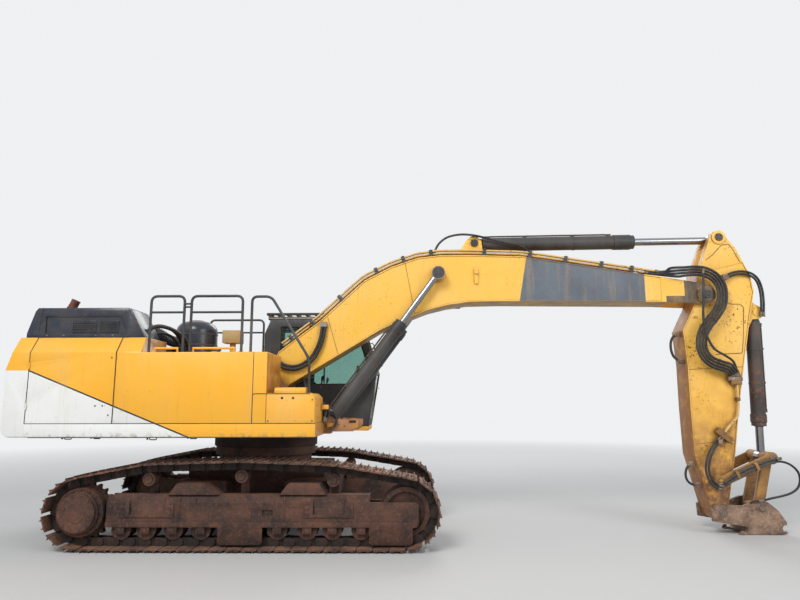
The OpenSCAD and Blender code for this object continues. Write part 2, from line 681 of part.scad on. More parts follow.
// One handrail loop: rear post, front post, top and middle heights
module rail_loop(x0, x1, y) {
    z = crease_z + touch;
    bar([[x0, y, z], [x0, y, z + 800], [x1, y, z + 800], [x1, y, z]], rail_r);
    bar([[x0, y, z + 570], [x1, y, z + 570]], rail_r);
}
rail_y_pos = side_y - 140;
module handrails_right() {
    machine() color([0.1, 0.1, 0.1]) {
        rail_loop(-1400, -926, -rail_y_pos);
        rail_loop(-827, -102, -rail_y_pos);
        tube([[30, -rail_y_pos, crease_z + touch], [30, -rail_y_pos, crease_z + 760],
            [40, -rail_y_pos, crease_z + 782], [62, -rail_y_pos, crease_z + 790],
            [290, -rail_y_pos, crease_z + 790], [340, -rail_y_pos, crease_z + 765],
            [835, -rail_y_pos, 2570], [856, -rail_y_pos, 2520],
            [860, -rail_y_pos, box_top + touch]], rail_r, 12);
        // clamp that joins the two loops
        for (z = [635, 680]) block([-930, -rail_y_pos - 26, crease_z + z],
            [-823, -rail_y_pos + 26, crease_z + z + 22]);
    }
}
module handrails_left() {
    machine() color([0.1, 0.1, 0.1]) rail_loop(-1400, -420, rail_y_pos);
}

// Cab: outline in x and z, seen from the side
cab_floor = deck_z + 70 + touch;
cab_hinge_x = 420 + door_gap / 2;
cab_hinge_z = [1900, 2900];
cab_rear = -210;
cab_form = [
    [cab_rear, cab_floor], [1560, cab_floor], [1700, 2450], [1420, cab_top - 50],
    [-110, cab_top - 50], [cab_rear, 3100]];
cab_inner = [
    [cab_rear + cab_t, cab_floor + cab_t], [1560 - cab_t, cab_floor + cab_t],
    [1700 - cab_t, 2450], [1420 - cab_t, cab_top - 50 - cab_t],
    [-110 + cab_t, cab_top - 50 - cab_t], [cab_rear + cab_t, 3100]];
// Windows as outlines in x and z, drawn smaller by c for the panes
module side_window(c) {
    polygon([[60 + c, 2250 + c], [1560 - c, 2250 + c], [1610 - c, 2450],
        [1330 - c, cab_top - 170 - c], [60 + c, cab_top - 170 - c]]);
}
module door_form(c) {
    polygon([[420 + c, cab_floor + 40 + c], [1470 - c, cab_floor + 40 + c],
        [1600 - c, 2450], [1340 - c, cab_top - 120 - c], [420 + c, cab_top - 120 - c]]);
}
module door_window(c) {
    polygon([[500 + c, 2150 + c], [1480 - c, 2150 + c], [1520 - c, 2450],
        [1280 - c, cab_top - 190 - c], [500 + c, cab_top - 190 - c]]);
}
module rear_side_window(c) {
    polygon([[-60 + c, 2250 + c], [340 - c, 2250 + c], [340 - c, cab_top - 170 - c],
        [-60 + c, cab_top - 170 - c]]);
}
// Slanted pane from point a to point b, e short of both, from depth t0 to depth t1
module slant(a, b, e, t0, t1) {
    d = unit(b - a);
    n = [-d[1], d[0]];
    polygon([a + e * d + t0 * n, b - e * d + t0 * n, b - e * d + t1 * n, a + e * d + t1 * n]);
}
front_pane_y = [cab_y0 + 70, side_y - 70];
module front_panes(e, t0, t1) {
    slant([1575, cab_floor + 100], [1700, 2450], 40 + e, t0, t1);
    slant([1700, 2450], [1420, cab_top - 50], 60 + e, t0, t1);
}
module cab_shell() {
    machine() color([0.12, 0.12, 0.12]) {
        hinge_fixed(cab_hinge_x, 1, cab_hinge_z) difference() {
            along_y(cab_y0, side_y) polygon(cab_form);
            along_y(cab_y0 + cab_t, side_y - cab_t) polygon(cab_inner);
            along_y(cab_y0 - 1, cab_y0 + cab_t + 1) side_window(0);
            along_y(side_y - cab_t - 1, side_y + 1) door_form(0);
            along_y(side_y - cab_t - 1, side_y + 1) rear_side_window(0);
            along_y(front_pane_y[0], front_pane_y[1]) front_panes(0, -60, 120);
            block([cab_rear - 1, front_pane_y[0], 2300], [cab_rear + cab_t + 1, front_pane_y[1], 3050]);
        }
        block([-160, cab_y0 + 20, cab_top - 50], [1380, side_y - 20, cab_top]);
        // guard above the roof: posts, frame and bars
        for (x = [-120, 1230]) for (y = [cab_y0 + 50, side_y - 90])
            block([x, y, cab_top - 5], [x + 40, y + 40, cab_top + 30]);
        difference() {
            block([-190, cab_y0 + 15, cab_top + 25], [1330, side_y - 30, cab_top + 65]);
            for (i = [0 : 8]) block([-150 + i * 162, cab_y0 + 60, cab_top + 24],
                [-26 + i * 162, side_y - 75, cab_top + 66]);
        }
    }
}
pane_t = 8;
module cab_glass() {
    machine() color([0.3, 0.42, 0.4, 0.5]) {
        along_y(cab_y0 + 15, cab_y0 + 15 + pane_t) side_window(touch);
        along_y(side_y - 15 - pane_t, side_y - 15) rear_side_window(touch);
        along_y(front_pane_y[0] + touch, front_pane_y[1] - touch) front_panes(touch, 15, 15 + pane_t);
        block([cab_rear + 15, front_pane_y[0] + touch, 2300 + touch],
            [cab_rear + 15 + pane_t, front_pane_y[1] - touch, 3050 - touch]);
    }
}
module cab_door() {
    machine() color([0.12, 0.12, 0.12]) hinge_moving(cab_hinge_x, 1, cab_hinge_z)
        along_y(side_y - cab_t, side_y) difference() {
            door_form(door_gap);
            door_window(0);
        }
}
module door_glass() {
    machine() color([0.3, 0.42, 0.4, 0.5])
        along_y(side_y - 15 - pane_t, side_y - 15) door_window(touch);
}
cab_mid = (cab_y0 + side_y) / 2;
module seat() {
    machine() color([0.15, 0.15, 0.17]) translate([450, cab_mid, cab_floor + cab_t + touch]) {
        block([-180, -180, 0], [180, 180, 350]);
        block([-260, -250, 350], [270, 250, 470]);
        block([-330, -250, 350], [-210, 250, 1150]);
    }
}
module console() {
    machine() color([0.15, 0.15, 0.15]) translate([450, cab_mid, cab_floor + cab_t + touch]) {
        for (s = [-1, 1]) {
            block([-150, s > 0 ? 270 : -400, 0], [350, s > 0 ? 400 : -270, 620]);
            bar([[300, s * 335, 610], [320, s * 335, 800]], 18);
        }
        for (s = [-1, 1]) bar([[760, s * 90, 1.8], [700, s * 90, 480]], 14);
    }
}

// Boom sections: underside x, underside z, top x, top z
boom_form = [
    [230, 2110, 20, 2330],
    [400, 2235, 200, 2725],
    [1000, 2590, 850, 3216],
    [1784, 3063, 1538, 3852],
    [2150, 3230, 1960, 4070],
    [2537, 3381, 2380, 4215],
    [2846, 3457, 2744, 4256],
    [3183, 3505, 3183, 4258],
    [3698, 3515, 4047, 4231],
    [6320, 3490, 6290, 3880]];
function under(s, t) = let (a = [s[0], s[1]], b = [s[2], s[3]]) a + t * unit(b - a);
function over(s, t) = let (a = [s[0], s[1]], b = [s[2], s[3]]) b - t * unit(b - a);
module boom_outline(t) {
    polygon(concat([for (s = boom_form) under(s, t)],
        [for (i = [len(boom_form) - 1 : -1 : 0]) over(boom_form[i], t)]));
}
// Strip of width t on the left of the way from a to b
module strip(a, b, t) {
    n = t * [-unit(b - a)[1], unit(b - a)[0]];
    polygon([a, b, b + n, a + n]);
}
boom_boss_r = 140;
boom_last = boom_form[len(boom_form) - 1];
fork_y = [stick_hw + 4 + side_gap, boom_hw];
// Box beam whose side plates lie lip_t inside the edges of its upper and lower plates
lip_t = 8;
lip_w = 16;
module boom() {
    machine() color([1, 0.82, 0.2]) difference() {
        union() {
            difference() {
                along_y(-boom_hw, boom_hw) boom_outline(0);
                for (s = [-1, 1]) along_y(s > 0 ? boom_hw - lip_t : -boom_hw - 1,
                    s > 0 ? boom_hw + 1 : -boom_hw + lip_t) boom_outline(lip_w);
            }
            // bracket on the right side
            block([3275, -boom_hw - 14, 3790], [3335, -boom_hw + lip_t + 1, 4040]);
            shaft_y([3305, 3970], 26, -boom_hw - 40, -boom_hw);
            shaft_y(boom_foot, boom_boss_r, -boom_hw, boom_hw);
            both_sides() {
                // fork plates at the tip
                along_y(fork_y[0], boom_hw) polygon([
                    [6200, 3492], [6882, 3462], [7010, 3540], [7022, 3640], [6940, 3735],
                    [6793, 3796], [6200, 3890]]);
                shaft_y(boom_tip, 140, fork_y[0], boom_hw + 45);
                shaft_y(boom_tip, pin_r + 10, boom_hw + 45, boom_hw + 60);
                // pad that carries the boom cylinder's pin
                shaft_y(boom_cyl_eye, 115, boom_hw - lip_t - 1, boom_cyl_y - 65 - side_gap);
                // ears for the arm cylinder's foot
                along_y(85, 135) polygon([
                    [2960, 4200], [3560, 4200], [3430, 4370], [3415, 4520], [3340, 4605],
                    [3260, 4605], [3170, 4540]]);
            }
            shaft_y(boom_tip, pin_r, -boom_hw, boom_hw);
            shaft_y(arm_cyl_foot, pin_r, -150, 150);
        }
        along_y(-boom_hw + plate_t, boom_hw - plate_t) difference() {
            boom_outline(plate_t);
            translate(boom_foot) circle(r = boom_boss_r);
            strip([boom_form[0][2], boom_form[0][3]], [boom_form[0][0], boom_form[0][1]], 2 * plate_t);
            strip([boom_last[0], boom_last[1]], [boom_last[2], boom_last[3]], plate_t);
            translate([2300, 3000]) square([30, 1500]);
        }
        shaft_y(boom_foot, pin_r + fit, -boom_hw - 1, boom_hw + 1);
    }
}
// Steel pipes along the boom's top, in two layers
top_line = [for (i = [1 : len(boom_form) - 1]) [boom_form[i][2], boom_form[i][3]]];
pipe_r = 15;
layer_h = [40, 82];
// Pipes: distance from the centre plane, layer, place where the front end lies
pipes = [[165, 0, 5800], [205, 0, 5880], [245, 0, 5960], [225, 1, 6040], [262, 1, 6120]];
// Clamps: number of the line's leg, share along it
clamps = [[0, 0.35], [0, 0.85], [1, 0.5], [2, 0.5], [3, 0.5], [4, 0.6], [6, 0.3], [7, 0.05], [7, 0.3],
    [7, 0.55], [7, 0.76]];
// Line that starts part way along its first leg and ends at x on its last
function cut_line(p, x) = let (n = len(p) - 1, a = p[n - 1], b = p[n])
    concat([p[0] + 0.15 * (p[1] - p[0])], [for (i = [1 : n - 1]) p[i]],
        [a + (b - a) * (x - a[0]) / (b[0] - a[0])]);
function pipe_line(p) = [for (q = cut_line(lifted(top_line, layer_h[p[1]]), p[2])) [q[0], p[0], q[1]]];
// Place at distance t beyond a pipe's front end, in the pipe's direction
function pipe_end(p, t) = let (e = pipe_line(p), n = len(e) - 1) e[n] + t * unit(e[n] - e[n - 1]);
module boom_pipes() {
    machine() color([0.95, 0.75, 0.2]) {
        for (p = pipes) mirror([0, 1, 0]) tube(pipe_line(p), pipe_r);
        for (p = [pipes[0], pipes[1]]) tube(pipe_line(p), pipe_r);
        for (c = clamps) {
            a = top_line[c[0]];
            b = top_line[c[0] + 1];
            m = a + c[1] * (b - a);
            translate([m[0], 0, m[1]]) rotate([0, -atan2(b[1] - a[1], b[0] - a[0]), 0]) {
                block([-30, -285, touch], [30, -140, layer_h[1] + 24]);
                block([-30, 140, touch], [30, 230, layer_h[0] + 24]);
            }
        }
    }
}
// Hoses on the boom: the loops at its root, those that lead from the pipes to the
// elbow, and the one that feeds the arm cylinder. Points are [x, y, z].
hose_r = 22;
root_hose = [[905, -308, 3160], [900, -325, 3060], [872, -335, 2900], [820, -335, 2760],
    [735, -335, 2620], [610, -335, 2520], [470, -335, 2475], [320, -335, 2495], [190, -335, 2570]];
// Elbow hoses: pipe that each continues, shift in the plane of the loop
elbows = [[4, 66], [3, 22], [2, -22], [1, -66]];
elbow_y = -376;
function lead_hose(p, d) = let (a = pipe_end(p, 6), b = pipe_end(p, 150))
    [a, b, [6440 - d / 2, 316, 3950 + d], [6550, 326, 3955 + d]];
feed_hose = [[2652, 188, 4326], [2722, 184, 4465], [2860, 176, 4575], [3060, 172, 4622],
    [3270, 170, 4612], [3480, 170, 4565], [3730, 168, 4500], [4030, 158, 4430], [4275, 126, 4290]];
module boom_hoses() {
    machine() color([0.08, 0.08, 0.08]) {
        for (d = [-24, 24]) hose(root_hose, hose_r, d);
        // fitting on the boom's side from which the loops hang
        block([855, -350, 3110], [955, -boom_hw + lip_t - touch, 3175]);
        mirror([0, 1, 0]) {
            for (e = elbows) {
                p = pipes[e[0]];
                hose(lead_hose(p, e[1]), hose_r - 2);
                bar([pipe_end(p, 0.6), pipe_end(p, 60)], pipe_r + 6);
            }
            hose(feed_hose, hose_r - 4, 0, 2);
            // clip that holds the loop's front end on the boom
            block([4248, 100, 4199.9], [4300, 148, 4312]);
        }
    }
}

// Cylinders lie along +X from the foot pin and are then swung into place
module lie(a, b) {
    d = b - a;
    translate([a[0], 0, a[1]]) rotate([0, -atan2(d[1], d[0]), 0]) children();
}
function span(a, b) = norm(b - a);
module barrel(length, r, eye_r, eye_hw, bore_r, gland) {
    difference() {
        union() {
            shaft_y([0, 0], eye_r, -eye_hw, eye_hw);
            block([0, -eye_hw, -eye_r * 0.7], [eye_r + 40, eye_hw, eye_r * 0.7]);
            translate([eye_r + 30, 0, 0]) rotate([0, 90, 0]) cylinder(r = r, h = length - eye_r - 30);
            // gland, the nut in front of it, and the ports
            translate([length - gland - 60, 0, 0]) rotate([0, 90, 0]) cylinder(r = r + 11, h = gland);
            translate([length - 60, 0, 0]) rotate([0, 90, 0]) cylinder(r = r - 14, h = 60);
            for (x = [eye_r + 60, length - gland - 150])
                block([x, -28, 0], [x + 60, 28, r + 26]);
        }
        shaft_y([0, 0], pin_r + fit, -eye_hw - 1, eye_hw + 1);
        translate([eye_r + 60, 0, 0]) rotate([0, 90, 0]) {
            cylinder(r = r - 16, h = length - eye_r - 160);
            cylinder(r = bore_r + fit, h = length);
        }
    }
}
module cylinder_rod(from, length, r, eye_r, eye_hw) {
    translate([from, 0, 0]) rotate([0, 90, 0]) cylinder(r = r, h = length - from - eye_r * 0.6);
    shaft_y([length, 0], eye_r, -eye_hw, eye_hw);
}
boom_cyl_len = span(boom_cyl_foot, boom_cyl_eye);
arm_cyl_len = span(arm_cyl_foot, stick_top);
bucket_cyl_len = span(bucket_cyl_foot, link_end);
module boom_barrel(y) {
    machine() color([0.1, 0.1, 0.1]) translate([0, y, 0]) lie(boom_cyl_foot, boom_cyl_eye)
        barrel(1895, boom_barrel_r, 110, 65, 52, 120);
}
module boom_rod(y) {
    machine() color([0.8, 0.8, 0.82]) translate([0, y, 0]) lie(boom_cyl_foot, boom_cyl_eye)
        cylinder_rod(1025, boom_cyl_len, 52, 105, 65);
}
module boom_barrel_right() { boom_barrel(-boom_cyl_y); }
module boom_barrel_left() { boom_barrel(boom_cyl_y); }
module boom_rod_right() { boom_rod(-boom_cyl_y); }
module boom_rod_left() { boom_rod(boom_cyl_y); }
module arm_barrel() {
    machine() color([0.1, 0.1, 0.1]) lie(arm_cyl_foot, stick_top)
        barrel(2600, arm_barrel_r, 115, 78, 60, 270);
}
module arm_rod() {
    machine() color([0.8, 0.8, 0.82]) lie(arm_cyl_foot, stick_top)
        cylinder_rod(1300, arm_cyl_len, 60, 115, 75);
}
module bucket_barrel() {
    machine() color([0.1, 0.1, 0.1]) lie(bucket_cyl_foot, link_end)
        barrel(1770, bucket_barrel_r, 96, 75, 57, 120);
}
module bucket_rod() {
    machine() color([0.8, 0.8, 0.82]) lie(bucket_cyl_foot, link_end)
        cylinder_rod(490, bucket_cyl_len, 57, 90, 68);
}

// Stick sections from the tip up: rear x, rear z, front x, front z
stick_form = [
    [6760, 330, 6990, 330],
    [6560, 1152, 7180, 1210],
    [6548, 1837, 7281, 1837],
    [6553, 2499, 7428, 2537],
    [6519, 3050, 7577, 3272],
    [6728, 3458, 7670, 3651],
    [6790, 3800, 7634, 3929],
    [6834, 4056, 7446, 4349]];
stick_last = stick_form[len(stick_form) - 1];
module stick_outline(t) {
    polygon(concat([for (s = stick_form) under(s, t)],
        [for (i = [len(stick_form) - 1 : -1 : 0]) over(stick_form[i], t)]));
}
module stick() {
    machine() color([1, 0.82, 0.2]) difference() {
        union() {
            difference() {
                along_y(-stick_hw, stick_hw) stick_outline(0);
                for (s = [-1, 1]) along_y(s > 0 ? stick_hw - lip_t : -stick_hw - 1,
                    s > 0 ? stick_hw + 1 : -stick_hw + lip_t) stick_outline(lip_w);
            }
            shaft_y(boom_tip, 135, -stick_hw - 4, stick_hw + 4);
            shaft_y(stick_end, 115, -stick_hw + 7, stick_hw - 7);
            both_sides() {
                // ears for the arm cylinder's eye
                along_y(80, stick_hw) polygon([
                    [6820, 3950], [7540, 4130], [7446, 4349], [7250, 4620], [7184, 4650],
                    [7110, 4630], [7060, 4560]]);
                shaft_y(stick_top, 110, 80 + 1, stick_hw + 20);
                // ears for the bucket cylinder's foot
                along_y(81, 141) polygon([
                    [7560, 3640], [7700, 3470], [7815, 3410], [7835, 3300], [7765, 3235],
                    [7650, 3228], [7560, 3060]]);
                // boss of the side link's pin
                shaft_y(link_foot, 95, 150, coupler_hw + side_gap - 1);
            }
            shaft_y(bucket_cyl_foot, pin_r, -150, 150);
            shaft_y(link_foot, link_pin_r, -coupler_hw - side_gap - 48, coupler_hw + side_gap + 48);
        }
        along_y(-stick_hw + plate_t, stick_hw - plate_t) difference() {
            stick_outline(plate_t);
            translate(stick_end) circle(r = 140);
            translate(link_foot) circle(r = 110);
            translate(boom_tip) circle(r = 135);
            strip([stick_last[2], stick_last[3]], [stick_last[0], stick_last[1]], plate_t);
        }
        shaft_y(boom_tip, pin_r + fit, -boom_hw, boom_hw);
        shaft_y(stick_end, pin_r - 10 + fit, -boom_hw, boom_hw);
    }
}
link_y = [coupler_hw + side_gap + 1, coupler_hw + side_gap + 41];
ear_y = [74, coupler_hw + side_gap];
module side_links() {
    machine() color([0.5, 0.42, 0.3]) both_sides() difference() {
        union() {
            along_y(link_y[0], link_y[1]) lie_outline(link_foot, link_end, 75);
            shaft_y(link_foot, 90, link_y[0], link_y[1]);
            shaft_y(link_end, 90, link_y[0], link_y[1]);
            shaft_y(link_end, link_pin_r, ear_y[0], link_y[1] + 10);
        }
        shaft_y(link_foot, link_pin_r + fit, link_y[0] - 1, link_y[1] + 1);
    }
}
// Hoses and pipes that the stick carries on its right side. Points are [x, y, z].
elbow_hose = [[6562, elbow_y, 3955], [6720, elbow_y, 3965], [6880, elbow_y, 3935],
    [7010, elbow_y, 3850], [7085, elbow_y, 3720], [7095, elbow_y, 3570], [7060, elbow_y, 3420],
    [6970, elbow_y, 3280], [6850, elbow_y, 3140], [6755, elbow_y, 2990], [6715, elbow_y, 2820],
    [6750, elbow_y, 2660], [6850, elbow_y, 2550], [6990, elbow_y, 2490], [7130, -340, 2450],
    [7210, -290, 2380], [7235, -262, 2300]];
pin_hose = [[6800, -438, 3960], [6790, -438, 3780], [6775, -438, 3520], [6750, -438, 3280],
    [6752, -438, 3090], [6790, -438, 2910], [6880, -438, 2740], [7040, -420, 2640],
    [7190, -340, 2560], [7265, -275, 2440], [7285, -262, 2300]];
bucket_hose = [[7210, -270, 3880], [7330, -262, 3930], [7470, -256, 3958], [7620, -250, 3930],
    [7725, -240, 3840], [7785, -215, 3680], [7800, -195, 3480], [7785, -185, 3290]];
rear_loop = [[6475, -100, 3000], [6400, -100, 2950], [6362, -100, 2860], [6362, -100, 2740],
    [6400, -100, 2640], [6490, -100, 2570]];
low_loop = [[6540, -100, 1010], [6475, -100, 950], [6448, -100, 850], [6470, -100, 760],
    [6540, -100, 705], [6620, -100, 700]];
link_drop = [[6952, -262, 1392], [6860, -275, 1310], [6760, -310, 1190], [6690, -350, 1060],
    [6665, -370, 930], [6695, -388, 800], [6770, -392, 715], [6845, -392, 690]];
// Rear face of the stick at height z
function stick_rear(z) = [lookup(z, [for (f = stick_form) [f[1], f[0]]]), z];
// Pads on the rear face that hold the loops' ends: height of the lower edge
rear_pads = [2965, 2535, 980, 665];
side_seat = stick_hw - lip_t + touch;
// Steel pipes down the stick's side, from the fitting below the elbow to the block
// above the links: place of each point, then the pipes' distances from the centre plane
stick_pipe = [[7255, 2215], [7262, 1900], [7230, 1720], [7080, 1570], [7000, 1470]];
module stick_pipes() {
    machine() color([0.7, 0.5, 0.25]) mirror([0, 1, 0]) {
        for (y = [235, 270]) tube([for (p = stick_pipe) [p[0], y, p[1]]], 14);
        block([7165, side_seat, 2205], [7325, 300, 2262]);
        block([7228, side_seat, 1960], [7283, 292, 2010]);
        translate([7000, 0, 1450]) rotate([0, 40, 0]) block([-130, side_seat, -50], [130, 300, 40]);
    }
}
module stick_hoses() {
    machine() color([0.08, 0.08, 0.08]) {
        for (e = elbows) hose(elbow_hose, hose_r - 2, e[1], 2);
        hose(pin_hose, hose_r - 4, 0, 2);
        // fitting that takes the hoses' lower ends
        block([7130, -300, 2262 + touch], [7340, -side_seat, 2320]);
        for (d = [-20, 20]) hose(bucket_hose, 17, d, 2);
        block([7170, -300, 3835], [7240, -side_seat, 3925]);
        hose(rear_loop, 20, 0, 3);
        hose(low_loop, 18, 0, 3);
        for (z = rear_pads) along_y(-135, -65)
            slant(stick_rear(z), stick_rear(z + 70), 0, touch, 75);
        for (d = [-22, 22]) hose(link_drop, 17, d, 2);
        block([6900, -292, 1320], [6962, -side_seat, 1382]);
    }
}
// Hoses that run along the right side link, past its end and back to the coupler
link_hose = [[6847, -350, 690], [6930, -350, 725], [7050, -350, 800], [7200, -350, 890],
    [7400, -350, 970], [7600, -350, 1040], [7760, -350, 1065], [7900, -350, 1020],
    [8000, -350, 920], [8022, -350, 800], [7980, -350, 690], [7880, -350, 615], [7740, -350, 570],
    [7580, -345, 535], [7430, -320, 490]];
module link_hoses() {
    machine() color([0.08, 0.08, 0.08]) {
        hose(link_hose, 17, 0, 2);
        hose([for (i = [0 : 6]) link_hose[i]], 15, 44, 2);
        for (x = [7130, 7420]) translate([x, 0, 845 + (x - 7130) * 0.42]) rotate([0, -24, 0])
            block([-22, -372, -28], [22, -link_y[1] - touch, 84]);
    }
}
// Flat bar between two points, half width w
module lie_outline(a, b, w) {
    d = unit(b - a);
    n = [-d[1], d[0]];
    polygon([a - w * n, b - w * n, b + w * n, a + w * n]);
}
module power_link() {
    machine() color([0.5, 0.42, 0.3]) difference() {
        union() {
            both_sides() {
                along_y(130, 190) lie_outline(link_end, coupler_ear, 70);
                shaft_y(link_end, 88, ear_y[0], ear_y[1]);
            }
            shaft_y(coupler_ear, 75, -stick_hw + 10, stick_hw - 10);
        }
        shaft_y(link_end, link_pin_r + fit, -boom_hw, boom_hw);
    }
}
// Coupler side plate, from the hook's tip round to the rear and back along the underside
coupler_form = [
    [7822, 160], [7706, 348], [7560, 470], [7470, 500], [7392, 490], [7190, 415], [6947, 432],
    [6800, 425], [6725, 383], [6735, 194], [6949, 159], [7117, 137], [7183, 120], [7183, 30],
    [7100, 0], [7716, 0], [7818, 21], [7822, 40]];
hook_z = 90;
hook_x = nose_x - 20;
module hook_seat(p, s) {
    shaft_y(p, hook_r, -coupler_hw - 1, coupler_hw + 1);
    block([min(p[0], p[0] + s * 100), -coupler_hw - 1, p[1] - hook_r],
        [max(p[0], p[0] + s * 100), coupler_hw + 1, p[1] + hook_r]);
}
module quick_coupler() {
    machine() color([0.45, 0.38, 0.3]) difference() {
        union() {
            both_sides() along_y(stick_hw + side_gap, coupler_hw) polygon(coupler_form);
            // cross box that joins the side plates
            along_y(-coupler_hw, coupler_hw) polygon([
                [7200, 20], [7690, 20], [7700, 150], [7560, 188], [7250, 188]]);
            shaft_y(stick_end, pin_r - 10, -coupler_hw - 5, coupler_hw + 5);
            both_sides() for (p = [[stick_end, 72], [coupler_ear, 58]]) difference() {
                shaft_y(p[0], p[1], -coupler_hw - 4, -coupler_hw + 1);
                shaft_y(p[0], p[1] - 12, -coupler_hw - 5, -coupler_hw - 0.5);
            }
        }
        // front hook, open to the front, and rear hook, open to the rear
        hook_seat([hook_x, hook_z], 1);
        hook_seat([hook_x - hook_base, hook_z - 15], -1);
    }
}

car_body();
track_frame_right();
track_frame_left();
track_right();
track_left();
sprockets();
idlers();
bottom_rollers();
carrier_rollers();
upper_frame();
counterweight();
bay_frame();
engine();
radiator();
pump_door();
radiator_door();
engine_hood();
exhaust();
fuel_tank();
toolbox();
left_housing();
service_door();
air_cleaner();
handrails_right();
handrails_left();
cab_shell();
cab_glass();
cab_door();
door_glass();
seat();
console();
boom();
boom_pipes();
boom_barrel_right();
boom_barrel_left();
boom_rod_right();
boom_rod_left();
arm_barrel();
arm_rod();
stick();
bucket_barrel();
bucket_rod();
side_links();
power_link();
quick_coupler();
cab_base();
boom_hoses();
stick_pipes();
stick_hoses();
link_hoses();
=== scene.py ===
"""A used crawler excavator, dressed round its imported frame.

The frame is in metres: +X forward along the boom, +Y to the machine's left, +Z up. Pieces are
drawn in millimetres from the slew axis, as in the machine's own drawing, and Shape.done()
brings them into the frame.
"""

import math
import random

import bmesh
import bpy
from mathutils import Matrix, Vector


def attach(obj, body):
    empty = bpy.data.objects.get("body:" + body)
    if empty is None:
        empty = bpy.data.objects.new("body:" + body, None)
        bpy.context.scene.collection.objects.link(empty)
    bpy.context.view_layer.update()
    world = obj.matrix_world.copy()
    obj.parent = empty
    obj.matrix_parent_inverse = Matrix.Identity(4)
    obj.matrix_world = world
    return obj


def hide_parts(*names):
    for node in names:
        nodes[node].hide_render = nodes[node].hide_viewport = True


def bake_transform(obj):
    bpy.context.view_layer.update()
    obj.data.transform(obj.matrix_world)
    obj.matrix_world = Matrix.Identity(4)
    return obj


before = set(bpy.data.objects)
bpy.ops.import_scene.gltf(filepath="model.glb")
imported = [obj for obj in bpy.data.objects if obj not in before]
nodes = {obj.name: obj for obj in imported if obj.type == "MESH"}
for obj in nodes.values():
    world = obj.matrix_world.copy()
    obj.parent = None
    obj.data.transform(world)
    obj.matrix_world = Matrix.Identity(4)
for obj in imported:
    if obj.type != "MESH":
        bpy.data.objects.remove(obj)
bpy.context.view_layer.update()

# The slew axis lies this far behind the frame's origin, in metres
SLEW_X = 2.20946

# Camera, fitted to the tracks of the photograph, which is 800 x 600
PHOTO_W = 800
FOCAL_PX = 633.69
SENSOR_MM = 36.0
CAMERA_AT = Vector((2.2582 - SLEW_X, -10.1395, 1.9526))
CAMERA_YAW = -0.0162793
CAMERA_PITCH = 0.159351
CAMERA_ROLL = -0.0017324


def add_object(name, data):
    thing = bpy.data.objects.new(name, data)
    bpy.context.scene.collection.objects.link(thing)
    return thing


def make_camera():
    data = bpy.data.cameras.new("camera")
    data.sensor_fit = "HORIZONTAL"
    data.sensor_width = SENSOR_MM
    data.lens = FOCAL_PX / PHOTO_W * SENSOR_MM
    data.clip_end = 200
    camera = add_object("camera", data)
    forward = Vector((math.sin(CAMERA_YAW), math.cos(CAMERA_YAW), 0))
    level = Vector((math.cos(CAMERA_YAW), -math.sin(CAMERA_YAW), 0))
    look = forward * math.cos(CAMERA_PITCH) + Vector((0, 0, math.sin(CAMERA_PITCH)))
    up = Vector((0, 0, math.cos(CAMERA_PITCH))) - forward * math.sin(CAMERA_PITCH)
    right = level * math.cos(CAMERA_ROLL) + up * math.sin(CAMERA_ROLL)
    top = up * math.cos(CAMERA_ROLL) - level * math.sin(CAMERA_ROLL)
    turn = Matrix((right, top, -look)).transposed().to_4x4()
    camera.matrix_world = Matrix.Translation(CAMERA_AT) @ turn
    bpy.context.scene.camera = camera


make_camera()


# Materials


def srgb(r, g, b):
    """A colour given as it looks, 0 to 255, in linear light."""
    out = []
    for c in (r, g, b):
        c /= 255
        out.append(c / 12.92 if c <= 0.04045 else ((c + 0.055) / 1.055) ** 2.4)
    return (*out, 1)


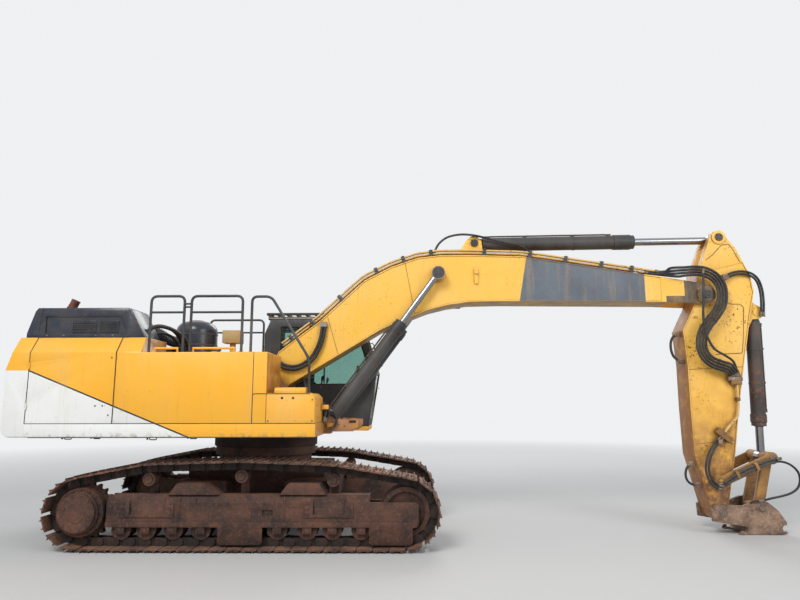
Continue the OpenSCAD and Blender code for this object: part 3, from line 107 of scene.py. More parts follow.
class Nodes:
    """Short names for the nodes of one material."""

    def __init__(self, name):
        self.material = bpy.data.materials.new(name)
        self.material.use_nodes = True
        self.tree = self.material.node_tree
        self.shader = self.tree.nodes["Principled BSDF"]
        self.place = self.add("ShaderNodeTexCoord").outputs["Object"]

    def add(self, kind, inputs=(), **settings):
        node = self.tree.nodes.new(kind)
        for key, value in settings.items():
            setattr(node, key, value)
        for key, value in dict(inputs).items():
            self.put(node.inputs[key], value)
        return node

    def put(self, socket, value):
        if isinstance(value, bpy.types.NodeSocket):
            self.tree.links.new(value, socket)
        else:
            socket.default_value = value

    def math(self, operation, a, b=0.0):
        return self.add("ShaderNodeMath", {0: a, 1: b}, operation=operation).outputs[0]

    def above(self, value, limit):
        return self.math("GREATER_THAN", value, limit)

    def below(self, value, limit):
        return self.math("LESS_THAN", value, limit)

    def times(self, first, *others):
        for other in others:
            first = self.math("MULTIPLY", first, other)
        return first

    def noise(self, scale, detail, rough=0.55, vector=None):
        node = self.add(
            "ShaderNodeTexNoise",
            {"Vector": vector or self.place, "Scale": scale, "Detail": detail, "Roughness": rough},
        )
        return node.outputs["Fac"]

    def band(self, value, low, high, to_low=0.0, to_high=1.0):
        ends = {"From Min": low, "From Max": high, "To Min": to_low, "To Max": to_high}
        return self.add("ShaderNodeMapRange", {"Value": value, **ends}).outputs["Result"]

    def cloud(self, scale, detail, *span, rough=0.55):
        """Noise with its contrast set by a band."""
        return self.band(self.noise(scale, detail, rough), *span)

    def streaks(self, scale, detail, stretch, *span):
        """Noise drawn out downward."""
        scaling = {"Vector": self.place, "Scale": (1.0, 1.0, stretch)}
        place = self.add("ShaderNodeMapping", scaling).outputs[0]
        noise = self.noise(scale, detail, 0.6, place)
        return noise, self.band(noise, *span)

    def mix(self, share, a, b):
        node = self.add("ShaderNodeMix", data_type="RGBA")
        self.put(node.inputs["Factor"], share)
        self.put(node.inputs[6], a)
        self.put(node.inputs[7], b)
        return node.outputs[2]

    def over(self, base, colour, *shares):
        """A colour laid over the base where all the shares meet."""
        return self.mix(self.times(*shares), base, colour)

    def axis(self, name):
        return self.add("ShaderNodeSeparateXYZ", {0: self.place}).outputs[name]

    def facing(self, name):
        """The surface's own direction along one axis, which stays with it when a joint moves."""
        normal = self.add("ShaderNodeTexCoord").outputs["Normal"]
        return self.add("ShaderNodeSeparateXYZ", {0: normal}).outputs[name]

    def occlusion_shade(self, reach):
        """Painted shade from ambient occlusion: 1 in corners and seams, 0 on open faces."""
        node = self.add("ShaderNodeAmbientOcclusion", {"Distance": reach}, samples=4)
        return self.band(node.outputs["AO"], 0.35, 0.95, 1.0, 0.0)

    def bump(self, height, strength, distance):
        inputs = {"Height": height, "Strength": strength, "Distance": distance}
        self.put(self.shader.inputs["Normal"], self.add("ShaderNodeBump", inputs).outputs[0])

    def finish(self, colour, rough, metal=0.0, **others):
        self.put(self.shader.inputs["Base Color"], colour)
        self.put(self.shader.inputs["Roughness"], rough)
        self.put(self.shader.inputs["Metallic"], metal)
        for key, value in others.items():
            self.put(self.shader.inputs[key.replace("_", " ")], value)
        return self.material


YELLOW = srgb(246, 176, 42)
BOOM_YELLOW = srgb(250, 190, 58)
WHITE = srgb(236, 236, 232)
BLACK = srgb(34, 35, 38)
DUST = srgb(196, 176, 140)
BOOM_DUST = srgb(222, 176, 100)
# Dark brown for grime streaks, and also for painted shade in corners, seams and under the boom
GRIME_AND_SHADE = srgb(96, 74, 48)
RUST = srgb(112, 62, 34)
GREY_BAND = srgb(104, 112, 120)


def worn_paint(n, base, dust, rust, streaks, chips, grime_and_shade=0.55):
    """Dust, streaks that run down, grime colour in corners and seams as painted shade, and rust
    where paint chipped.
    """
    runs, share = n.streaks(7.0, 5, 0.09, 0.52, 0.8, 0.0, streaks)
    base = n.over(base, dust, share)
    base = n.over(base, GRIME_AND_SHADE, n.streaks(30.0, 4, 0.05, 0.6, 0.78, 0.0, streaks * 0.8)[1])
    fine = n.noise(38, 3, 0.6)
    base = n.over(base, dust, n.band(fine, 0.58, 0.8, 0.0, 0.22))
    flat = n.band(n.facing("Z"), 0.75, 0.98, 0.0, 0.45)
    base = n.over(base, dust, flat, n.cloud(5, 6, 0.35, 0.65))
    # dark grime colour laid in corners and seams by an occlusion mask: painted shade
    base = n.over(base, GRIME_AND_SHADE, n.occlusion_shade(0.09), n.cloud(6, 5, 0.25, 0.6, 0.35, 1.0), grime_and_shade)
    spots = n.cloud(26, 6, chips, chips + 0.04, rough=0.7)
    base = n.over(base, rust, spots, n.cloud(2.2, 3, 0.45, 0.6))
    n.bump(n.math("ADD", n.times(fine, 0.3), n.noise(3, 3)), 0.1, 0.01)
    return base, runs


def paint(name, colour, dust, rust, rough=0.34, streaks=0.3, chips=0.62):
    """Used machine paint."""
    n = Nodes(name)
    faded = n.mix(0.25, colour, (0.9, 0.85, 0.75, 1))
    base = n.over(colour, faded, n.cloud(0.9, 3, 0.35, 0.75, 0.0, 0.4))
    base, runs = worn_paint(n, base, dust, rust, streaks, chips)
    return n.finish(base, n.band(runs, 0.3, 0.8, rough, rough + 0.3))


def rusty(name, dark, mid, light, rough=0.8, share=0.5):
    """Rust and dried mud on heavy castings, with painted shade in their corners."""
    n = Nodes(name)
    big = n.noise(3.2, 6, 0.6)
    small = n.noise(22, 8, 0.7)
    base = n.mix(n.band(big, 0.35, 0.65), dark, mid)
    base = n.over(base, light, n.band(small, 0.5, 0.72, 0.0, share))
    base = n.over(base, dark, n.cloud(70, 3, 0.6, 0.75, 0.0, 0.35))
    # the dark colour laid in corners and seams by an occlusion mask: painted shade
    base = n.over(base, dark, n.occlusion_shade(0.12), 0.6)
    flat = n.band(n.facing("Z"), 0.7, 0.97, 0.0, 0.55)
    base = n.over(base, light, flat, n.band(big, 0.3, 0.6))
    n.bump(n.math("ADD", small, n.times(big, 0.6)), 0.5, 0.02)
    return n.finish(base, n.band(small, 0.3, 0.7, rough - 0.15, rough + 0.1), 0.1)


# Border of the white tail paint, from the slew axis: x and z of its corners
BORDER = [(-3.7, 2.389), (-2.987, 2.386), (-1.788, 1.904), (-0.778, 1.502), (-0.7, 1.47)]
BORDER_HALF = 0.011
SILL = 1.485
FOOT_Y, FOOT_X = (0.56, 0.6), (-0.7, -0.6)


def tail_paint():
    """Yellow above and white below a border that runs down to the front, with a dark line."""
    n = Nodes("tail_paint")
    x, z = n.axis("X"), n.axis("Z")
    height = None
    for (x0, z0), (x1, z1) in zip(BORDER, BORDER[1:]):
        part = n.band(x, x0 - SLEW_X, x1 - SLEW_X, 0.0, z1 - z0)
        height = part if height is None else n.math("ADD", height, part)
    rise = n.math("SUBTRACT", z, n.math("ADD", height, BORDER[0][1]))
    patch = n.noise(0.9, 3)
    gold = n.mix(n.band(patch, 0.35, 0.75, 0.0, 0.4), YELLOW, srgb(242, 190, 84))
    pale = n.mix(n.band(patch, 0.35, 0.75, 0.0, 0.6), WHITE, srgb(222, 220, 212))
    base = n.over(pale, gold, n.above(rise, 0.0))
    line = n.below(n.math("ABSOLUTE", rise), BORDER_HALF)
    base = n.over(base, BLACK, n.above(x, BORDER[1][0] - SLEW_X), line)
    # dirt above the sill and a dark band along the sill, and dirt on faces to the front and round
    # the boom's foot
    low = n.band(z, SILL, 1.56, 1.0, 0.0)
    base = n.over(base, srgb(150, 130, 100), low, n.cloud(14, 6, 0.5, 0.62, 0.0, 0.7))
    base = n.over(base, srgb(58, 48, 40), n.band(z, SILL, 1.5, 0.9, 0.0))
    front = n.band(n.facing("X"), 0.6, 0.95)
    base = n.over(base, srgb(178, 112, 62), front, n.cloud(7, 6, 0.3, 0.6, 0.25, 0.8))
    middle = n.band(n.math("ABSOLUTE", n.axis("Y")), *FOOT_Y, 1.0, 0.0)
    foot = n.times(middle, n.band(x, *[edge - SLEW_X for edge in FOOT_X]))
    brown = n.mix(n.noise(5, 5), srgb(150, 92, 58), srgb(196, 142, 98))
    base = n.over(base, brown, foot, n.cloud(3, 5, 0.2, 0.5, 0.6, 1.0))
    base, runs = worn_paint(n, base, DUST, RUST, 0.22, 0.65, 0.5)
    return n.finish(base, n.band(runs, 0.3, 0.8, 0.28, 0.5))


# Painted band on the boom's sides and the grimy plate at its tip, from the slew axis
BAND_X, BAND_SLANT = (4.03, 5.95), -0.18
NOSE_X, NOSE_LOW_Z = (6.27, 6.56), 3.585
# The boom's side plates start this far from the centre plane and lie above this height
BOOM_SIDE_Y, BOOM_SIDE_Z = 0.262, 3.0


def boom_base(n):
    """Yellow that faded in patches."""
    faded = n.mix(0.3, BOOM_YELLOW, (0.9, 0.85, 0.72, 1))
    return n.over(BOOM_YELLOW, faded, n.cloud(0.8, 3, 0.35, 0.75, 0.0, 0.5))


def boom_paint():
    n = Nodes("boom_yellow")
    x, y, z = n.axis("X"), n.math("ABSOLUTE", n.axis("Y")), n.axis("Z")
    upright = n.below(n.math("ABSOLUTE", n.facing("Z")), 0.5)
    side = n.times(n.above(y, BOOM_SIDE_Y), upright)
    high = n.above(z, BOOM_SIDE_Z)
    slanted = n.math("ADD", x, n.times(n.math("SUBTRACT", z, 3.8), BAND_SLANT))
    inside = n.times(n.above(slanted, BAND_X[0] - SLEW_X), n.below(x, BAND_X[1] - SLEW_X))
    grey = n.mix(n.cloud(1.6, 4, 0.35, 0.7), GREY_BAND, srgb(84, 92, 102))
    base = n.over(boom_base(n), grey, inside, side, high)
    strip = n.times(n.above(x, NOSE_X[0] - SLEW_X), n.below(z, NOSE_LOW_Z))
    plate = n.math("MAXIMUM", n.above(x, NOSE_X[1] - SLEW_X), strip)
    nose = n.times(plate, n.times(side, high))
    base = n.over(base, srgb(62, 58, 58), nose, n.cloud(4, 5, 0.25, 0.55, 0.7, 0.97))
    # grime colour on the faces that look down: painted shade under the boom, with some dirt
    underside_shade = n.band(n.facing("Z"), -0.95, -0.4, 0.75, 0.0)
    base = n.over(base, GRIME_AND_SHADE, underside_shade, n.cloud(3, 5, 0.2, 0.6, 0.5, 1.0))
    base, runs = worn_paint(n, base, BOOM_DUST, RUST, 0.32, 0.6)
    return n.finish(base, n.band(runs, 0.3, 0.8, 0.32, 0.6))


def stick_paint():
    """Boom paint that is rusty at the rear face and dirty towards the coupler."""
    n = Nodes("stick_yellow")
    z, x_side = n.axis("Z"), n.facing("X")
    base = n.over(boom_base(n), srgb(190, 116, 44), n.band(z, 0.6, 2.9, 0.75, 0.0),
                  n.cloud(5, 6, 0.3, 0.65))
    base = n.over(base, srgb(124, 84, 56), n.band(z, 0.7, 1.9, 1.0, 0.0),
                  n.cloud(9, 7, 0.3, 0.55, rough=0.68))
    base = n.over(base, srgb(132, 66, 42), n.band(x_side, 0.35, 0.8),
                  n.cloud(6, 6, 0.25, 0.6, 0.45, 0.95))
    base = n.over(base, srgb(146, 92, 48), n.band(x_side, -0.95, -0.5, 0.92, 0.0),
                  n.cloud(6, 6, 0.25, 0.5, 0.55, 1.0))
    base, runs = worn_paint(n, base, BOOM_DUST, RUST, 0.36, 0.58)
    return n.finish(base, n.band(runs, 0.3, 0.8, 0.38, 0.65))


def plain(name, colour, rough, metal=0.0, grain=60, shift=0.25, bump=0.15, dust=DUST, **others):
    """A finish of one colour with fine variation."""
    n = Nodes(name)
    dusty = n.over(colour, dust, n.cloud(4, 5, 0.4, 0.75, 0.0, shift))
    flat = n.band(n.facing("Z"), 0.6, 0.98, 0.0, shift)
    dusty = n.over(dusty, dust, flat, n.cloud(6, 6, 0.3, 0.6))
    fine = n.noise(grain, 4, 0.6)
    n.bump(fine, bump, 0.003)
    return n.finish(dusty, n.band(fine, 0.3, 0.7, rough - 0.06, rough + 0.1), metal, **others)


def glass(name):
    n = Nodes(name)
    tint = n.mix(n.cloud(3, 4, 0.4, 0.8, 0.0, 0.5), srgb(176, 208, 200), srgb(196, 208, 198))
    return n.finish(tint, n.cloud(20, 3, 0.4, 0.8, 0.02, 0.1), 0.0,
                    Transmission_Weight=0.95, IOR=1.15)


mats = {
    "tail": tail_paint(),
    "yellow": paint("body_yellow", YELLOW, DUST, RUST),
    "boom": boom_paint(),
    "stick": stick_paint(),
    # cream paint lightened towards the pipes' whitish highlights: partly painted highlight
    "pipe": paint("pipe_paint_and_highlight", srgb(228, 186, 108), srgb(176, 150, 112), RUST, 0.45, 0.5, 0.55),
    "black": paint("black_paint", BLACK, srgb(110, 104, 96), srgb(90, 60, 44), 0.42, 0.3),
    "barrel": paint("barrel_black", srgb(28, 29, 32), srgb(104, 92, 78), srgb(110, 66, 42),
                    0.36, 0.4, 0.58),
    "scuffed": paint("barrel_scuffed", srgb(42, 36, 34), srgb(128, 104, 80), srgb(128, 76, 48),
                     0.5, 0.8, 0.52),
    "hood": plain("hood_black", srgb(36, 42, 56), 0.24, shift=0.09),
    "rust": rusty("rust_steel", srgb(46, 34, 30), srgb(96, 64, 50), srgb(148, 102, 78)),
    "track": rusty("track_steel", srgb(52, 38, 32), srgb(110, 76, 58), srgb(168, 126, 100),
                   share=0.6),
    "chain": rusty("chain_steel", srgb(28, 22, 20), srgb(62, 44, 36), srgb(112, 82, 64),
                   share=0.4),
    "worn": rusty("worn_steel", srgb(88, 68, 56), srgb(166, 134, 110), srgb(206, 180, 156),
                  0.62, 0.6),
    "link": rusty("link_steel", srgb(96, 68, 42), srgb(176, 128, 66), srgb(200, 158, 100), 0.6),
    "grime_and_shade": rusty("grime_paint", srgb(118, 84, 40), srgb(178, 128, 58), srgb(204, 156, 84),
                   0.6, 0.3),
    "engine": rusty("engine_metal", srgb(24, 24, 25), srgb(52, 52, 52), srgb(96, 92, 84),
                    0.6, 0.4),
    "exhaust": rusty("exhaust_metal", srgb(70, 36, 30), srgb(120, 62, 50), srgb(150, 96, 76), 0.6),
    "chrome": plain("rod_chrome", srgb(150, 152, 156), 0.16, 1.0, shift=0.2, bump=0.02),
    "steel": plain("bolt_steel", srgb(120, 112, 102), 0.45, 0.8, shift=0.3),
    "rubber": plain("hose_rubber", srgb(30, 30, 32), 0.6, grain=140, shift=0.3, bump=0.3,
                    dust=srgb(120, 112, 100)),
    "braid": plain("hose_braid", srgb(150, 146, 138), 0.7, grain=220, shift=0.45, bump=0.6,
                   dust=srgb(96, 84, 70)),
    "seal": plain("seal_black", srgb(24, 24, 26), 0.7, grain=120, shift=0.2),
    "seat": plain("seat_cloth", srgb(44, 45, 48), 0.9, grain=300, bump=0.5, Sheen_Weight=0.3),
    "plastic": plain("cab_plastic", srgb(50, 50, 52), 0.6, grain=200),
    "glass": glass("glass_green"),
    "lens": plain("lamp_lens", srgb(220, 222, 224), 0.12, grain=90, shift=0.15),
    "red": plain("red_lens", srgb(150, 22, 20), 0.2, grain=90, shift=0.15),
    "tan": paint("tan_paint", srgb(190, 158, 104), DUST, RUST, 0.5, 0.3),
}
NODE_MATERIALS = {
    "tail": ["counterweight", "upper_frame", "pump_door", "radiator_door", "fuel_tank",
             "left_housing", "service_door"],
    "yellow": ["toolbox", "cab_base"],
    "boom": ["boom"],
    "stick": ["stick"],
    "pipe": ["boom_pipes", "stick_pipes"],
    "black": ["bay_frame", "handrails_right", "handrails_left", "cab_shell", "cab_door"],
    "barrel": ["boom_barrel_right", "boom_barrel_left", "arm_barrel"],
    "scuffed": ["bucket_barrel"],
    "hood": ["engine_hood", "air_cleaner"],
    "rust": ["car_body", "track_frame_right", "track_frame_left", "sprockets", "idlers",
             "bottom_rollers", "carrier_rollers"],
    "track": ["track_right", "track_left"],
    "worn": ["quick_coupler"],
    "link": ["side_links", "power_link"],
    "engine": ["engine", "radiator"],
    "exhaust": ["exhaust"],
    "chrome": ["boom_rod_right", "boom_rod_left", "arm_rod", "bucket_rod"],
    "seat": ["seat"],
    "plastic": ["console"],
    "glass": ["cab_glass", "door_glass"],
    "rubber": ["boom_hoses", "stick_hoses", "link_hoses"],
}


def dress():
    for key, names in NODE_MATERIALS.items():
        for name in names:
            data = nodes[name].data
            data.materials.clear()
            data.materials.append(mats[key])


dress()

# Drawing in millimetres from the slew axis
SMOOTH_ANGLE = math.radians(32)
TO_FRAME = Matrix.Translation((-SLEW_X, 0, 0)) @ Matrix.Scale(0.001, 4)
ACROSS = Vector((0, 1, 0))


def turned(axis, degrees, place=(0, 0, 0)):
    """A turn about an axis through a place."""
    place = Matrix.Translation(Vector(place))
    return place @ Matrix.Rotation(math.radians(degrees), 4, axis) @ place.inverted()


def set_at(place, axis, degrees):
    """Moves a drawing from the origin to a place, turned about an axis."""
    return Matrix.Translation(place) @ Matrix.Rotation(math.radians(degrees), 4, axis)


def spline(points, steps):
    """Smooth curve through a few points."""
    p = [Vector(q) for q in points]
    out = []
    for i in range(len(p) - 1):
        a, b, c, d = p[max(i - 1, 0)], p[i], p[i + 1], p[min(i + 2, len(p) - 1)]
        for k in range(steps):
            t = k / steps
            out.append(0.5 * (2 * b + (c - a) * t + (2 * a - 5 * b + 4 * c - d) * t * t
                              + (3 * b - a - 3 * c + d) * t ** 3))
    return out + [p[-1]]


def lifted(points, height):
    """A line of x, z points moved to its upper side."""
    p = [Vector(q) for q in points]
    out = []
    for i, q in enumerate(p):
        d0 = (p[max(i, 1)] - p[max(i - 1, 0)]).normalized()
        j = min(i, len(p) - 2)
        d1 = (p[j + 1] - p[j]).normalized()
        n0, n1 = Vector((-d0[1], d0[0])), Vector((-d1[1], d1[0]))
        m = (n0 + n1).normalized()
        out.append(q + height * m / m.dot(n1))
    return out


def moved(points, height):
    line = lifted([(q[0], q[2]) for q in points], height)
    return [Vector((line[i][0], q[1], line[i][1])) for i, q in enumerate(points)]


def mirrored(points):
    return [Vector((p[0], -p[1], p[2])) for p in points]


def rounded_line(points, share=0.16):
    """The line with a small curve in place of each corner."""
    out = [points[0]]
    for a, b, c in zip(points, points[1:], points[2:]):
        out += [b.lerp(a, share), b.lerp(a, share * 0.35).lerp(b.lerp(c, share * 0.35), 0.5),
                b.lerp(c, share)]
    return out + [points[-1]]


def corner_tube(points, bend, steps=6):
    """A line whose corners are bent to a radius."""
    p = [Vector(q) for q in points]
    out = [p[0]]
    for a, b, c in zip(p, p[1:], p[2:]):
        start, end = b + (a - b).normalized() * bend, b + (c - b).normalized() * bend
        for k in range(steps + 1):
            t = k / steps
            out.append((1 - t) ** 2 * start + 2 * t * (1 - t) * b + t * t * end)
    return out + [p[-1]]


def circle(centre, u, v, radius, count, phase=0.0):
    """Points round a centre, in the plane of two directions."""
    out = []
    for k in range(count):
        w = 2 * math.pi * (k + phase) / count
        out.append(centre + radius * (math.cos(w) * u + math.sin(w) * v))
    return out


class Shape:
    """Solids gathered into one mesh."""

    def __init__(self):
        self.bm = bmesh.new()

    def faces(self, points, faces):
        verts = [self.bm.verts.new(p) for p in points]
        for f in faces:
            self.bm.faces.new([verts[i] for i in f])
        return verts

    def soften(self, verts, size):
        if size:
            inside = set(verts)
            edges = [e for e in self.bm.edges if e.verts[0] in inside and e.verts[1] in inside]
            bmesh.ops.bevel(self.bm, geom=edges, offset=size, segments=2, affect="EDGES",
                            profile=0.5, clamp_overlap=True)
        return self

    def box(self, a, b, bevel=0.0, turn=None):
        xs, ys, zs = [sorted((a[i], b[i])) for i in range(3)]
        corners = [Vector((x, y, z)) for x in xs for y in ys for z in zs]
        if turn:
            corners = [turn @ p for p in corners]
        verts = self.faces(corners, [(0, 1, 3, 2), (4, 6, 7, 5), (0, 4, 5, 1), (2, 3, 7, 6),
                                     (0, 2, 6, 4), (1, 5, 7, 3)])
        return self.soften(verts, bevel)

    def prism(self, outline, axis, lo, hi, bevel=0.0, turn=None):
        """An outline drawn in the two other axes, in order, and pulled along one."""
        along = "xyz".index(axis)
        points = [Vector((*p[:along], t, *p[along:])) for t in (lo, hi) for p in outline]
        n = len(outline)
        walls = [(i, (i + 1) % n, n + (i + 1) % n, n + i) for i in range(n)]
        if turn:
            points = [turn @ p for p in points]
        verts = self.faces(points, walls + [tuple(range(n))[::-1], tuple(range(n, 2 * n))])
        return self.soften(verts, bevel)

    def loft(self, rings):
        """A closed skin over rings that have the same number of points."""
        sides, last = len(rings[0]), len(rings) - 1
        faces = [tuple(range(sides))[::-1], tuple(range(last * sides, (last + 1) * sides))]
        for i in range(0, last * sides, sides):
            for k in range(sides):
                m = (k + 1) % sides
                faces.append((i + k, i + m, i + sides + m, i + sides + k))
        self.faces([p for ring in rings for p in ring], faces)
        return self

    def turning(self, start, end, profile, sides=24):
        """A solid of revolution from start towards end: distances along, and radii."""
        a, b = Vector(start), Vector(end)
        d = (b - a).normalized()
        u = d.orthogonal().normalized()
        v = d.cross(u)
        return self.loft([circle(a + d * t, u, v, r, sides) for t, r in profile])

    def rod(self, a, b, r, sides=20, edge=0.0):
        length = (Vector(b) - Vector(a)).length
        e = min(edge, length / 2.1)
        ends = [(0, r - e), (length, r - e)] if e else []
        return self.turning(a, b, ends[:1] + [(e, r), (length - e, r)] + ends[1:], sides)

    def bolt(self, place, out, r=14, height=12, washer=True):
        """A hexagon head with its washer; out is the way it faces."""
        p, d = Vector(place), Vector(out).normalized()
        if washer:
            self.rod(p - d * 2, p + d * 3, r * 1.45, 16)
        return self.turning(p, p + d * height, [(0, r), (height * 0.8, r), (height, r * 0.8)], 6)

    def bolts(self, places, out, r, height, washer=False):
        for place in places:
            self.bolt(place, out, r, height, washer)

    def tube(self, points, r, sides=12, radii=None):
        p = [Vector(q) for q in points]
        last = len(p) - 1
        n = None
        rings = []
        for i, q in enumerate(p):
            ahead = (p[min(i + 1, last)] - q).normalized()
            tangent = (ahead + (q - p[max(i - 1, 0)]).normalized()).normalized()
            if n is None:
                n = ACROSS if abs(tangent[1]) < 0.8 else Vector((1, 0, 0))
            n = (n - n.dot(tangent) * tangent).normalized()
            rings.append(circle(q, n, tangent.cross(n), radii[i] if radii else r, sides))
        return self.loft(rings)

    def bead(self, points, r, bend=0):
        """A thin seam along a line, whose corners may be bent."""
        return self.tube(corner_tube(points, bend, 3) if bend else points, r, 6)

    def done(self, name, body, key, replaces=()):
        """The finished piece, riding on its body."""
        bmesh.ops.recalc_face_normals(self.bm, faces=self.bm.faces)
        data = bpy.data.meshes.new(name)
        self.bm.to_mesh(data)
        self.bm.free()
        data.transform(TO_FRAME)
        return finish_piece(name, data, body, key, replaces)


def shapes(count):
    return [Shape() for _ in range(count)]


def finish_piece(name, data, body, key, replaces=()):
    data.shade_smooth()
    data.set_sharp_from_angle(angle=SMOOTH_ANGLE)
    data.materials.clear()
    data.materials.append(mats[key])
    piece = add_object(name, data)
    if body:
        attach(piece, body)
    if replaces:
        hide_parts(*replaces)
    return piece


# Plates and castings of the frame, with their edges rounded: node, body, finish, edge in metres
ROUNDED = [
    ("counterweight", "house", "tail", 0.014), ("fuel_tank", "house", "tail", 0.012),
    ("left_housing", "house", "tail", 0.008), ("toolbox", "house", "yellow", 0.012),
    ("upper_frame", "house", "tail", 0.006), ("cab_base", "house", "yellow", 0.006),
    ("pump_door", "pump_door", "tail", 0.006), ("radiator_door", "radiator_door", "tail", 0.006),
    ("service_door", "service_door", "tail", 0.005), ("engine_hood", "engine_hood", "hood", 0.008),
    ("boom", "boom", "boom", 0.005), ("stick", "stick", "stick", 0.005),
    ("side_links", "side_links", "link", 0.006), ("power_link", "power_link", "link", 0.006),
    ("quick_coupler", "coupler", "worn", 0.007), ("car_body", "undercarriage", "rust", 0.012),
    ("track_frame_right", "undercarriage", "rust", 0.006),
    ("track_frame_left", "undercarriage", "rust", 0.006),
    ("cab_shell", "house", "black", 0.007), ("cab_door", "cab_door", "black", 0.005),
]
SHARP_ANGLE = math.radians(28)
# Vertices closer than this are one, and faces flatter than this are merged
SAME_PLACE, SAME_FACE = 0.00005, math.radians(0.6)


def round_edges(name, body, key, size):
    """A copy of a frame node with merged faces and rounded outer edges, shown in its stead."""
    data = nodes[name].data.copy()
    bm = bmesh.new()
    bm.from_mesh(data)
    bmesh.ops.remove_doubles(bm, verts=bm.verts, dist=SAME_PLACE)
    bmesh.ops.dissolve_limit(bm, angle_limit=SAME_FACE, verts=bm.verts, edges=bm.edges)
    edges = [e for e in bm.edges
             if len(e.link_faces) == 2 and e.is_convex and e.calc_face_angle(0) > SHARP_ANGLE]
    bmesh.ops.bevel(bm, geom=edges, offset=size, segments=2, affect="EDGES", profile=0.5,
                    clamp_overlap=True)
    bm.to_mesh(data)
    bm.free()
    data.name = name + "_plates"
    return finish_piece(name + "_plates", data, body, key, (name,))


for row in ROUNDED:
    round_edges(*row)


# Tracks: the chain's path, its pins and shoes
AXLE_BASE, TRACK_Y, WRAP_R, SHOE_W, SHOES = 4370, 1195, 392, 600, 52
LINK_OUT, SHOE_T, GROUSER, LINK_IN = 55, 20, 28, 52
CARRIERS = [(-1304, 1062), (-41, 1100), (1206, 1056)]
AXLE_X = AXLE_BASE / 2
AXLE_Z = WRAP_R + LINK_OUT + SHOE_T + GROUSER


def chain_points():
    """Places of the chain's pins, and their distance along the path."""
    front, rear = Vector((AXLE_X, AXLE_Z)), Vector((-AXLE_X, AXLE_Z))

    def touch(c, p, side):
        d = Vector(p) - c
        reach = math.degrees(math.acos(WRAP_R / d.length))
        return math.degrees(math.atan2(d[1], d[0])) - side * reach

    def arc(c, a0, a1, n=80):
        out = []
        for i in range(n + 1):
            a = math.radians(a0 + (a1 - a0) * i / n)
            out.append(c + WRAP_R * Vector((math.cos(a), math.sin(a))))
        return out

    path = arc(front, -90, touch(front, CARRIERS[2], 1)) + [Vector(c) for c in CARRIERS[::-1]]
    path += arc(rear, touch(rear, CARRIERS[0], -1), 270) + [front - Vector((0, WRAP_R))]
    run = [0.0]
    for a, b in zip(path, path[1:]):
        run.append(run[-1] + (b - a).length)
    pitch, out, j = run[-1] / SHOES, [], 0
    for i in range(SHOES):
        while run[j + 1] < i * pitch:
            j += 1
        share = (i * pitch - run[j]) / (run[j + 1] - run[j])
        out.append(path[j].lerp(path[j + 1], share))
    return out, pitch


CHAIN, PITCH = chain_points()
TOP = LINK_OUT + SHOE_T
# Section of a shoe: share of the pitch from its middle, height above the pin line
SHOE_FORM = [
    (-0.49, TOP - 14), (-0.485, TOP - 4), (-0.37, TOP), (-0.315, TOP + 4), (-0.295, TOP + GROUSER),
    (-0.255, TOP + GROUSER), (-0.235, TOP + 4), (-0.18, TOP), (0.13, TOP), (0.19, TOP + 4),
    (0.215, TOP + GROUSER), (0.255, TOP + GROUSER), (0.275, TOP + 4), (0.33, TOP),
    (0.47, TOP - 8), (0.475, TOP - 17), (0.36, LINK_OUT), (-0.36, LINK_OUT)]
# Halves of a link: share of the pitch, height. The rear half lies nearer the middle.
REAR_HALF = [(-0.16, -20), (-0.1, -42), (0.1, -LINK_IN), (0.52, -LINK_IN), (0.52, LINK_OUT),
             (-0.02, LINK_OUT), (-0.16, 22)]
FRONT_HALF = [(0.44, -LINK_IN), (0.9, -LINK_IN), (1.1, -42), (1.17, -20), (1.17, 22),
              (1.04, LINK_OUT), (0.44, LINK_OUT)]
# Distances of the two halves from the track's middle, and how far a worn shoe is off
REAR_Y, FRONT_Y, WEAR = (50, 71), (73, 95), 2.0


def track(name, side, replaced):
    shoes, chain = shapes(2)
    y = side * TRACK_Y
    for i in range(SHOES):
        a, b = CHAIN[i], CHAIN[(i + 1) % SHOES]
        d = (b - a).normalized()
        out = Vector((d[1], -d[0]))
        mid = (a + b) / 2

        def spots(origin, form):
            return [tuple(origin + u * PITCH * d + h * out) for u, h in form]

        wave = random.uniform(-WEAR, WEAR)
        worn = [(u, h - (abs(wave) * 0.5 if h > TOP else 0)) for u, h in SHOE_FORM]
        half = SHOE_W / 2 - 2 - abs(wave)
        shoes.prism(spots(mid, worn), "y", y - half, y + half)
        for s in (-1, 1):
            for form, reach in ((REAR_HALF, REAR_Y), (FRONT_HALF, FRONT_Y)):
                chain.prism(spots(a, form), "y", *sorted(y + s * r for r in reach))
            for x, z in spots(mid, ((-0.11, TOP - 1), (0.11, TOP - 1))):
                chain.bolt((x, y + s * 72, z), (out[0], 0, out[1]), 13, 11, False)
        for reach, *form in ((50, 33, 14), (97, 21, 12, 3)):
            chain.rod((a[0], y - reach, a[1]), (a[0], y + reach, a[1]), *form)
    shoes.done(name + "_shoes", "undercarriage", "track", (replaced,))
    chain.done(name + "_chain", "undercarriage", "chain", (replaced,))


random.seed(7)
track("track_near", -1, "track_right")
track("track_far", 1, "track_left")

